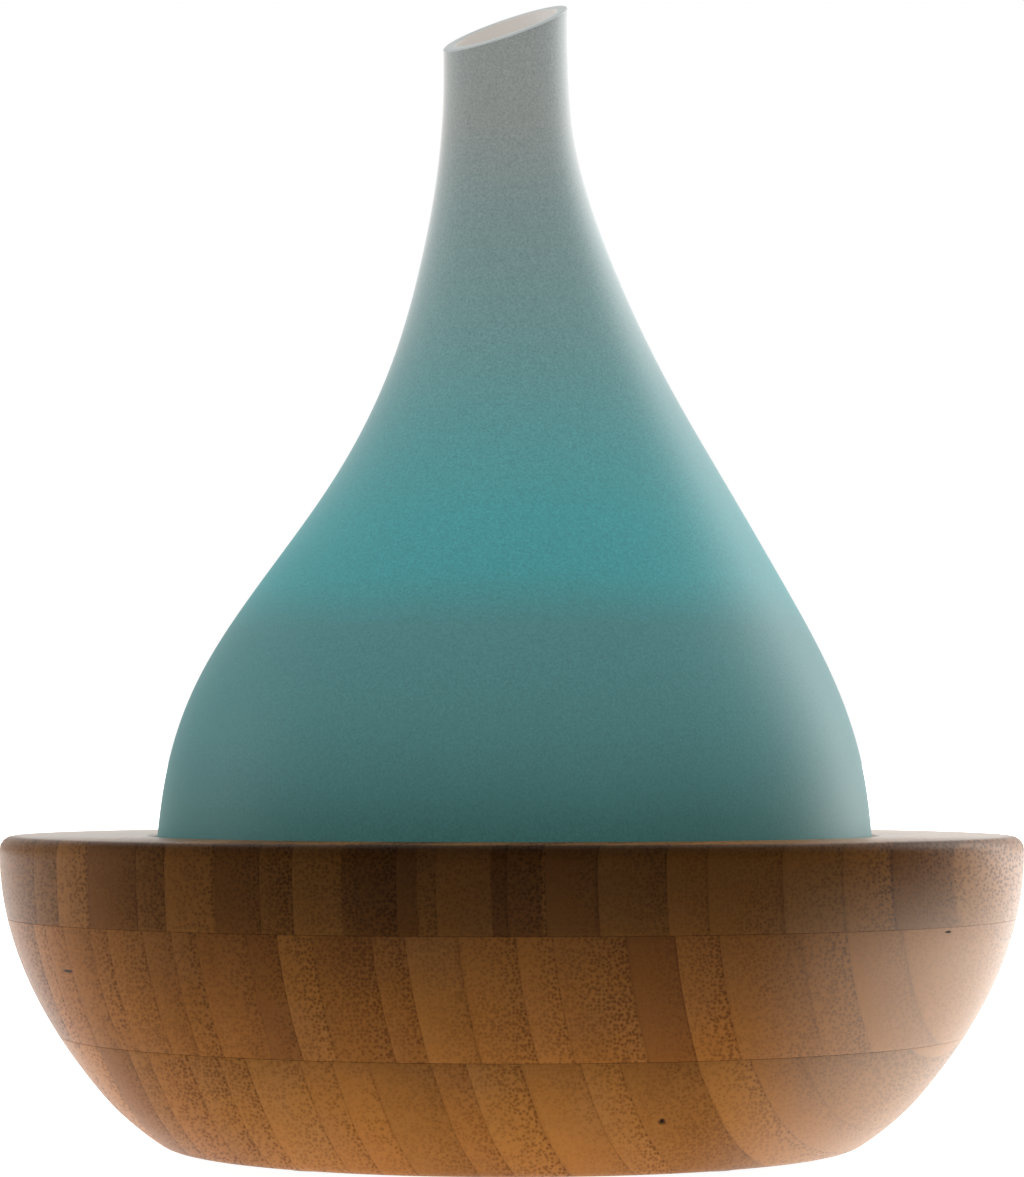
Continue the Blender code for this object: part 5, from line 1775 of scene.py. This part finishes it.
@dataclass
class Lights:
    """The six lamps on their ring-shaped board."""

    count: int = 6
    size: float = 0.005
    corner: float = 0.0004
    edge: float = 0.00015
    height: float = 0.0016
    dish: float = 0.0019
    dish_floor: float = 0.6  # share of the height
    lens: float = 0.0018
    lens_edge: float = 0.85
    lens_shoulder: tuple[float, float] = (0.00114, 0.97)  # radius, share of the height

    def build(self) -> None:
        """Builds and dresses the lamps, and dresses their board."""
        middle = middle_of("led_1")
        values = {"Count": self.count, "Radius": math.hypot(middle.x, middle.y)}
        values |= {"Start": math.atan2(middle.y, middle.x), "Height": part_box("led_1")[0].z}
        body = slab((self.size, self.size), 0, self.height, LAMP_BODY, self.corner, self.edge)
        floor = self.height * self.dish_floor
        dish = bar(self.dish, floor, self.height + PAST, LAMP_BODY, steps=28)
        bodies = repeated(RING, carved(body, [dish]), LAMP_BODY, **values)
        shoulder, shoulder_height = self.lens_shoulder
        inside = [
            (0, floor), (self.lens, floor), (self.lens, self.height * self.lens_edge),
            (shoulder, self.height * shoulder_height), (0, self.height),
        ]
        resin = repeated(RING, turned(inside, LAMP_RESIN, 28), LAMP_RESIN, **values)
        nodes = [f"led_{k}" for k in range(1, self.count + 1)]
        keep("lamp_bodies", bodies, nodes)
        keep("lamp_lenses", resin, nodes)
        dress(WHITE_BOARD, "led_board")


@dataclass
class LevelFloat:
    """The float, its cap and the sensor inside the post."""

    bore: float = 0.0029
    radius: float = 0.006
    seam: float = 0.0004
    post: float = 0.0024
    cap: float = 0.0042
    cap_roof: float = 0.0009

    def build(self) -> None:
        """Builds and dresses the float and its cap, and dresses the sensor."""
        low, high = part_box("water_level_float")
        x, _, waist = middle_of("water_level_float")
        outline = [
            (self.bore, low.z, 0.0003), (self.radius, low.z, 0.001),
            (self.radius, waist - self.seam), (self.radius - self.seam, waist),
            (self.radius, waist + self.seam), (self.radius, high.z, 0.001),
            (self.bore, high.z, 0.0003),
        ]
        ring = turned(outline, FLOAT_PLASTIC, 64, (x, 0, 0))
        keep("float_ring", ring, ["water_level_float"], "level_float")
        low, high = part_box("float_cap")
        ceiling = high.z - self.cap_roof
        outline = [
            (0, ceiling), (self.post + GAP, ceiling), (self.post + GAP, low.z),
            (self.cap, low.z, 0.0003), (self.cap, high.z, 0.0006), (0, high.z),
        ]
        keep("post_cap", turned(outline, CLAMP_PLASTIC, 48, (x, 0, 0)), ["float_cap"])
        dress(SENSOR_GLASS, "level_sensor")


@dataclass
class BaseCover:
    """The base cover with its intake grille, its screws and its rubber feet."""

    radius: float = 0.0542
    low: float = 0.0016
    top: float = 0.0042
    foot_radius: float = 0.006
    foot_height: float = 0.0019
    foot_circle: float = 0.043
    grille: float = 0.0125
    pitch: float = 0.004
    slat: float = 0.002
    slat_lap: float = 0.0004
    slat_inset: float = 0.0002
    bead: tuple[float, float, float] = (0.0018, 0.0004, 0.0003)  # from the rim, half width, depth
    screw: tuple[float, float, float] = (0.0014, 0.003, 0.0011)  # shank, head, rise
    screws: tuple[str, ...] = tuple(f"base_screw_{k}" for k in (1, 2, 3, 4))

    def screw_places(self) -> list[tuple[float, float]]:
        """Where the four screws stand."""
        return [tuple(middle_of(name).xy) for name in self.screws]

    def build_plate(self) -> Mesh:
        """The plate, with a fine groove inside its rim and all its recesses."""
        inset, half, depth = self.bead
        outline = [
            (0, self.low), (self.radius - inset - half, self.low),
            (self.radius - inset, self.low + depth), (self.radius - inset + half, self.low),
            (self.radius, self.low, 0.0004), (self.radius, self.top, 0.0003), (0, self.top),
        ]
        plate = turned(outline, BASE_PLASTIC, 144)
        below, above = self.low - PAST, self.top + PAST
        cuts = [bar(self.grille, below, above, BASE_PLASTIC, (0, FAN_Y), 72)]
        for place in around(4, self.foot_circle, 45):
            foot = (self.foot_radius + GAP, below, self.foot_height + GAP)
            cuts.append(bar(*foot, BASE_PLASTIC, place, 48))
        shank, head, rise = self.screw
        seat = self.low + rise + 2 * GAP
        stepped = [
            (0, below), (head + GAP + 0.0004, below), (head + GAP, self.low + 0.0003),
            (head + GAP, seat), (shank + GAP, seat), (shank + GAP, above), (0, above),
        ]
        for place in self.screw_places():
            cuts.append(turned(stepped, BASE_PLASTIC, 36, (*place, 0)))
        return carved(plate, cuts)

    def build_grille(self) -> Mesh:
        """The slats of the intake grille."""
        lines = int(self.grille / self.pitch)
        low, high = self.low + self.slat_inset, self.top - self.slat_inset
        slat = slab((self.slat, 2.0), low, high, BASE_PLASTIC, edge=0.0003)
        values = {"Count": 2 * lines, "Pitch": self.pitch, "Radius": self.grille, "Lap": self.slat_lap}
        return moved(repeated(SLATS, slat, BASE_PLASTIC, **values), y=FAN_Y)

    def build_foot(self) -> Mesh:
        """One rubber foot, with a shallow dish and two grip rings."""
        dish = 0.0003
        outline = [
            (0, dish), (0.0024, dish), (0.0028, 0), (0.0035, 0), (0.0038, dish), (0.0042, dish),
            (0.0045, 0), (self.foot_radius, 0, 0.0006), (self.foot_radius, self.foot_height),
            (0, self.foot_height),
        ]
        return turned(outline, RUBBER, 64)

    def build(self) -> None:
        """Builds and dresses the base cover, its screws and its feet."""
        keep("bottom_plate", self.build_plate(), ["base_cover"])
        keep("grille_slats", self.build_grille(), ["base_cover"])
        seat = self.low + GAP + self.screw[2]
        screw = pan_screw(*self.screw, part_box(self.screws[0])[1].z - seat, STEEL)
        places = [(*place, seat) for place in self.screw_places()]
        keep("base_screws", on_points(screw, places, STEEL), self.screws)
        places = [(*place, 0.0) for place in around(4, self.foot_circle, 45)]
        feet = on_points(self.build_foot(), places, RUBBER)
        keep("rubber_feet", feet, [f"foot_{k}" for k in (1, 2, 3, 4)])


@dataclass
class Fan:
    """The fan: its housing, its impeller with swept blades, and its motor."""

    size: float = 0.030
    depth: float = 0.008
    corner: float = 0.0022
    bore: float = 0.0142
    hub: float = 0.007
    hub_bore: float = 0.006
    blades: int = 7
    tip: float = 0.0133
    chord: float = 0.0060
    thickness: float = 0.00035
    camber: float = 0.0005
    sweep: float = 0.0012
    pitch: tuple[float, float] = (48.0, 34.0)  # at the hub and at the tip, in degrees
    screw_reach: float = 0.012
    screw_hole: float = 0.0013
    plate: tuple[float, float] = (0.0065, 0.0008)  # the motor plate's radius and thickness
    tube: tuple[float, float, float] = (0.00165, 0.00245, 0.66)  # radii, share of the depth
    strut: tuple[float, float] = (0.0091, 0.002)
    strut_middle: float = 0.01005
    shaft: float = 0.00105
    collar: float = 0.00185
    hub_low: float = 0.0016
    hub_drop: float = 0.0005  # from the housing's top down to the hub's
    crown: float = 0.0009
    crown_dish: float = 0.0004

    def build_housing(self) -> Mesh:
        """The square housing with its bore, motor plate, struts and bearing tube."""
        body = slab((self.size, self.size), 0, self.depth, FAN_PLASTIC, self.corner, 0.0003)
        tools = [bar(self.bore, -PAST, self.depth + PAST, FAN_PLASTIC, steps=72)]
        for place in around(4, self.screw_reach * math.sqrt(2), 45.0):
            tools.append(bar(self.screw_hole, -PAST, self.depth + PAST, FAN_PLASTIC, place, 20))
        body = carved(body, tools)
        radius, plate = self.plate
        inner, outer, share = self.tube
        motor = [
            (0, 0), (radius, 0, 0.0003), (radius, plate), (outer, plate),
            (outer, self.depth * share), (inner, self.depth * share), (inner, plate), (0, plate),
        ]
        parts = [body, turned(motor, FAN_PLASTIC, 48)]
        for angle in (90, 210, 330):
            strut = moved(slab(self.strut, 0, plate, FAN_PLASTIC, edge=0.0002), x=self.strut_middle)
            parts.append(spun(strut, Matrix.Rotation(math.radians(angle), 4, "Z")))
        return moved(together(parts), y=FAN_Y, z=FAN_LOW)

    def build_blade(self) -> Mesh:
        """One swept blade, pitched steeper at the hub than at the tip."""
        spans, chords = 9, 7
        root = self.hub_bore + 0.0006
        points: list[Place] = []
        for side in (1, -1):
            for i in range(spans):
                out = i / (spans - 1)
                radius = root + (self.tip - root) * out
                pitch = math.radians(self.pitch[0] + (self.pitch[1] - self.pitch[0]) * out)
                for k in range(chords):
                    chord = k / (chords - 1) - 0.5
                    thick = self.thickness * (1 - (2 * chord) ** 4 * 0.7) * side
                    rise = self.camber * (1 - (2 * chord) ** 2) + thick
                    along = chord * self.chord
                    y = along * math.cos(pitch) - rise * math.sin(pitch) + self.sweep * out**2
                    z = along * math.sin(pitch) + rise * math.cos(pitch)
                    points.append((radius, y, z + self.depth / 2 + 0.0003))
        bm = bmesh.new()
        verts = [bm.verts.new(point) for point in points]
        half = spans * chords
        for i in range(spans - 1):
            for k in range(chords - 1):
                a = i * chords + k
                bm.faces.new([verts[n] for n in (a, a + 1, a + chords + 1, a + chords)])
                bm.faces.new([verts[half + n] for n in (a, a + chords, a + chords + 1, a + 1)])
        bmesh.ops.bridge_loops(bm, edges=[e for e in bm.edges if e.is_boundary])
        bmesh.ops.recalc_face_normals(bm, faces=bm.faces)
        mesh = bpy.data.meshes.new("blade")
        bm.to_mesh(mesh)
        bm.free()
        return mesh

    def build_impeller(self) -> Mesh:
        """The hub and its blades."""
        top = self.depth - self.hub_drop
        tube_top = self.depth * self.tube[2]
        hub = [
            (0, top - self.crown_dish), (self.shaft, top - self.crown_dish),
            (self.shaft, tube_top + GAP), (self.collar, tube_top + GAP),
            (self.collar, top - self.crown), (self.hub_bore, top - self.crown),
            (self.hub_bore, self.hub_low), (self.hub, self.hub_low), (self.hub, top, 0.0008),
            (0, top),
        ]
        values = {"Count": self.blades, "Radius": 0.0, "Start": 0.0, "Height": 0.0}
        blades = repeated(RING, self.build_blade(), FAN_PLASTIC, **values)
        return moved(together([turned(hub, FAN_PLASTIC, 72), blades]), y=FAN_Y, z=FAN_LOW)

    def build(self) -> None:
        """Builds and dresses the fan."""
        keep("fan_frame", self.build_housing(), ["fan_housing"])
        keep("impeller", self.build_impeller(), ["fan_impeller"], "fan_rotor")
        screw = pan_screw(*SMALL_SCREW, self.depth + 0.0023, STEEL)
        screw = spun(screw, Matrix.Rotation(math.pi, 4, "X"))
        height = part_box("fan_screw_1")[1].z - SMALL_SCREW[2]
        places = [(s * self.screw_reach, FAN_Y + s * self.screw_reach, height) for s in (1, -1)]
        keep("fan_screws", on_points(screw, places, STEEL), ["fan_screw_1", "fan_screw_2"])
        dress(STEEL, "fan_shaft")
        dress(BRONZE, "fan_bearing")
        dress(COPPER, "fan_stator")


@dataclass
class Controls:
    """The controls at the back: bezel, two buttons, power socket, switches and their board."""

    size: tuple[float, float] = (0.0414, 0.0134)
    corner: float = 0.003
    face_thickness: float = 0.0025
    wall: float = 0.0012
    spacing: float = 0.0125
    button: float = 0.0042
    proud: float = 0.0007
    flange: tuple[float, float] = (0.0008, 0.0015)  # how far it stands out, thickness
    stem: float = 0.0021
    dish_rim: float = 0.0009
    dish_depth: float = 0.0005
    cap_flat: float = 0.0012
    cap_dish: tuple[float, float, float] = (0.45, 0.0003, 0.00035)  # share of the radius, depths
    socket: float = 0.0046
    socket_bore: float = 0.0031
    socket_depth: float = 0.009
    pin: float = 0.001
    pin_tip: tuple[float, float, float] = (0.6, 0.0012, 0.0005)  # share, shoulder, end
    liner: tuple[float, float] = (0.0003, 0.00005)  # inner and outer face, from the bore
    height: float = 0.02945
    middle_bore: float = 0.0583

    def at_back(self, mesh: Mesh, x: float = 0.0) -> Mesh:
        """Turns a mesh made along Z to the back, at the controls' height."""
        return moved(spun(mesh, TO_BACK), x=x, z=self.height)

    def build_bezel(self) -> Mesh:
        """The bezel, with a shallow dish round each button and the socket."""
        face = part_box("control_bezel")[1].y
        inner = face - self.face_thickness
        body = slab(self.size, self.middle_bore, face, BEZEL_PLASTIC, self.corner, 0.0004)
        hollow_size = tuple(side - 2 * self.wall for side in self.size)
        corner = self.corner - self.wall
        hollow = slab(hollow_size, self.middle_bore - PAST, inner, BEZEL_PLASTIC, corner)
        tools = []
        for x, radius in ((0, self.socket), (-self.spacing, self.button), (self.spacing, self.button)):
            dish = [
                (0, inner - PAST), (radius + GAP, inner - PAST),
                (radius + GAP, face - self.dish_depth), (radius + self.dish_rim, face),
                (radius + self.dish_rim, face + PAST), (0, face + PAST),
            ]
            tools.append(turned(dish, BEZEL_PLASTIC, 56, (x, 0, 0)))
        return self.at_back(carved(carved(body, [hollow]), tools))

    def build_button(self, name: str) -> Mesh:
        """One button, with its flange and stem behind the bezel and a dished cap."""
        back, top = (corner.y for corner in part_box(name))
        inner = top - self.proud - self.face_thickness - GAP
        flange, thickness = self.flange
        share, depth, middle_depth = self.cap_dish
        outline = [
            (0, back), (self.stem, back), (self.stem, inner - thickness),
            (self.button + flange, inner - thickness), (self.button + flange, inner),
            (self.button, inner), (self.button, top, 0.0006), (self.button - self.cap_flat, top),
            (self.button * share, top - depth), (0, top - middle_depth),
        ]
        return self.at_back(turned(outline, BUTTON_PLASTIC, 64), middle_of(name).x)

    def build_socket(self) -> Mesh:
        """The power socket's body."""
        low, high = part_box("power_socket")
        floor = high.y - self.socket_depth
        outline = [
            (0, low.y), (self.socket, low.y), (self.socket, high.y, 0.0003),
            (self.socket_bore, high.y, 0.0003), (self.socket_bore, floor), (0, floor),
        ]
        return self.at_back(turned(outline, SOCKET_PLASTIC, 64))

    def build_contacts(self) -> Mesh:
        """The metal liner and pin inside the socket."""
        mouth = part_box("power_socket")[1].y
        floor = mouth - self.socket_depth
        share, shoulder, end = self.pin_tip
        pin = [
            (0, floor + 0.00005), (self.pin, floor + 0.00005), (self.pin, mouth - shoulder),
            (self.pin * share, mouth - shoulder / 2), (0, mouth - end),
        ]
        inner, outer = (self.socket_bore - inset for inset in self.liner)
        liner = [
            (inner, floor + 0.0012), (outer, floor + 0.0012), (outer, mouth - 0.0009),
            (inner, mouth - 0.0011),
        ]
        return self.at_back(together([turned(pin, STEEL, 32), turned(liner, STEEL, 48)]))

    def build(self) -> None:
        """Builds and dresses the controls."""
        keep("bezel", self.build_bezel(), ["control_bezel"])
        for name in ("mist_button", "light_button"):
            keep(f"{name}_cap", self.build_button(name), [name], name)
        keep("socket_body", self.build_socket(), ["power_socket"])
        keep("socket_contacts", self.build_contacts(), ["power_socket"])
        dress(EPOXY, "tact_switch_1", "tact_switch_2")
        dress(GREEN_BOARD, "switch_board")


@dataclass
class Electronics:
    """The main board and what stands on it, the air duct and the leads."""

    kept: dict[str, Finish] = field(
        default_factory=lambda: {
            "main_board": GREEN_BOARD,
            "heat_sink": ALUMINIUM,
            "power_transistor": EPOXY,
            "air_duct": DUCT_PLASTIC,
            "transducer_lead": RED_SHEATH,
            "fan_lead": BLACK_SHEATH,
            "power_lead": BLACK_SHEATH,
        }
    )

    neck: float = 0.0004
    neck_top: float = 0.0024
    chamfer: float = 0.0006
    rim: float = 0.0009
    top_dish: float = 0.0002
    flange: float = 0.0012
    waist: float = 0.0032
    turns: int = 9
    wire: tuple[float, float] = (0.0004, 0.0006)  # how far each turn stands out, edge and middle
    clearance: float = 0.00002

    def build_capacitor(self) -> Mesh:
        """The capacitor, with its crimped neck and scored top."""
        low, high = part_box("capacitor")
        radius = (high.x - low.x) / 2
        outline = [
            (0, low.z), (radius - self.chamfer, low.z), (radius, low.z + self.neck_top / 3, 0.0002),
            (radius - self.neck, low.z + self.neck_top * 2 / 3),
            (radius, low.z + self.neck_top, 0.0002), (radius, high.z, 0.0005),
            (radius - self.rim, high.z),
            (radius - self.rim - self.top_dish, high.z - self.top_dish),
            (0, high.z - self.top_dish),
        ]
        middle = middle_of("capacitor")
        return turned(outline, SLEEVE, 56, (middle.x, middle.y, 0))

    def build_inductor(self) -> Mesh:
        """The inductor: a ferrite bobbin with its winding."""
        low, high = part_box("inductor")
        radius = (high.x - low.x) / 2
        foot, top = low.z + self.flange, high.z - self.flange
        bobbin = [
            (0, low.z), (radius, low.z, 0.0002), (radius, foot, 0.0002), (self.waist, foot),
            (self.waist, top), (radius, top, 0.0002), (radius, high.z, 0.0002), (0, high.z),
        ]
        edge, crest = (self.waist + out for out in self.wire)
        pitch = (top - foot) / self.turns
        winding = [(self.waist + self.clearance, foot + self.clearance)]
        for k in range(self.turns):
            middle = foot + pitch * (k + 0.5)
            winding.append((edge, middle - pitch * 0.45))
            winding.append((crest, middle))
            winding.append((edge, middle + pitch * 0.45))
        winding.append((self.waist + self.clearance, top - self.clearance))
        at = (*middle_of("inductor").xy, 0)
        return together([turned(bobbin, FERRITE, 48, at), turned(winding, COPPER, 48, at)])

    def build(self) -> None:
        """Builds and dresses the electronics."""
        keep("smoothing_capacitor", self.build_capacitor(), ["capacitor"])
        keep("drive_inductor", self.build_inductor(), ["inductor"])
        for name, finish in self.kept.items():
            dress(finish, name)


# ----------------------------------------------------------------------------------- studio


@dataclass
class Lamp:
    """A soft lamp: where it stands, what it faces, its size and its power in watts."""

    name: str
    at: Place
    facing: Place
    size: tuple[float, float]
    power: float


@dataclass
class Studio:
    """The pale floor, the camera, the surroundings and the soft lamps."""

    camera_at: Place = (0.0, -0.727, 0.066)
    camera_tilt: float = 92.187
    lens: float = 132.96
    sensor: float = 36.0
    near_limit: float = 0.01
    floor_size: float = 60.0
    lamps: tuple[Lamp, ...] = (
        Lamp("right window", (0.62, 0.40, 0.26), (0.0, 0.0, 0.07), (0.5, 0.7), 4.2),
        Lamp("left window", (-0.75, 0.12, 0.22), (0.0, 0.0, 0.06), (0.4, 0.5), 1.0),
    )

    def build_floor(self) -> None:
        """The pale floor."""
        half = self.floor_size / 2
        corners = [(-half, -half, 0), (half, -half, 0), (half, half, 0), (-half, half, 0)]
        mesh = bpy.data.meshes.new("floor")
        mesh.from_pydata(corners, [], [(0, 1, 2, 3)])
        mesh.materials.append(Floor("pale floor").material())
        floor = bpy.data.objects.new("floor", mesh)
        bpy.context.scene.collection.objects.link(floor)

    def build_camera(self) -> None:
        """The camera, low in front of the bowl."""
        data = bpy.data.cameras.new("camera")
        data.lens = self.lens
        data.sensor_width = self.sensor
        data.clip_start = self.near_limit
        camera = bpy.data.objects.new("camera", data)
        camera.location = self.camera_at
        camera.rotation_euler = (math.radians(self.camera_tilt), 0, 0)
        bpy.context.scene.collection.objects.link(camera)
        bpy.context.scene.camera = camera

    def build_surroundings(self) -> None:
        """Plain white for the camera; for light, bright behind, fair above and dim in front."""
        world = bpy.data.worlds.new("surroundings")
        world.use_nodes = True
        bpy.context.scene.world = world
        graph = Graph(world.node_tree)
        background = world.node_tree.nodes["Background"]
        direction = graph.node("ShaderNodeTexCoord").outputs["Generated"]
        x, y, z = graph.parts(direction)
        behind = y.ramp(0.05, 1.0) * (x.ramp(-0.7, 0.5) * 0.7 + 0.5)
        light = behind + z.ramp(0.1, 1.0) * 0.5 + 0.06
        seen = graph.value("ShaderNodeLightPath", None, None, "Is Camera Ray")
        strength = seen + (1 - seen) * light
        graph.tree.links.new(strength.source, background.inputs["Strength"])
        background.inputs["Color"].default_value = (1.0, 1.0, 1.0, 1.0)

    def build_lamps(self) -> None:
        """The soft lamps."""
        for lamp in self.lamps:
            data = bpy.data.lights.new(lamp.name, "AREA")
            data.shape = "RECTANGLE"
            data.size, data.size_y = lamp.size
            data.energy = lamp.power
            light = bpy.data.objects.new(lamp.name, data)
            light.location = lamp.at
            aim = Vector(lamp.facing) - Vector(lamp.at)
            light.rotation_euler = aim.to_track_quat("-Z", "Y").to_euler()
            light.visible_camera = False
            bpy.context.scene.collection.objects.link(light)

    def build(self) -> None:
        """Builds the studio."""
        self.build_camera()
        self.build_floor()
        self.build_surroundings()
        self.build_lamps()
        bpy.context.scene.view_settings.view_transform = "Standard"
        LOG.info("studio with %d lamps", len(self.lamps))


def main() -> None:
    """Builds the humidifier from the outside in, and then the studio."""
    logging.basicConfig(level=logging.INFO, format="%(message)s")
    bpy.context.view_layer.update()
    assemblies = (
        BambooBowl(),
        GlassCover(),
        InnerCover(),
        WaterTank(),
        MistMaker(),
        Lights(),
        LevelFloat(),
        BaseCover(),
        Fan(),
        Controls(),
        Electronics(),
    )
    for assembly in assemblies:
        assembly.build()
        LOG.info("built the %s", type(assembly).__name__)
    Studio().build()


if __name__ == "__main__":
    main()
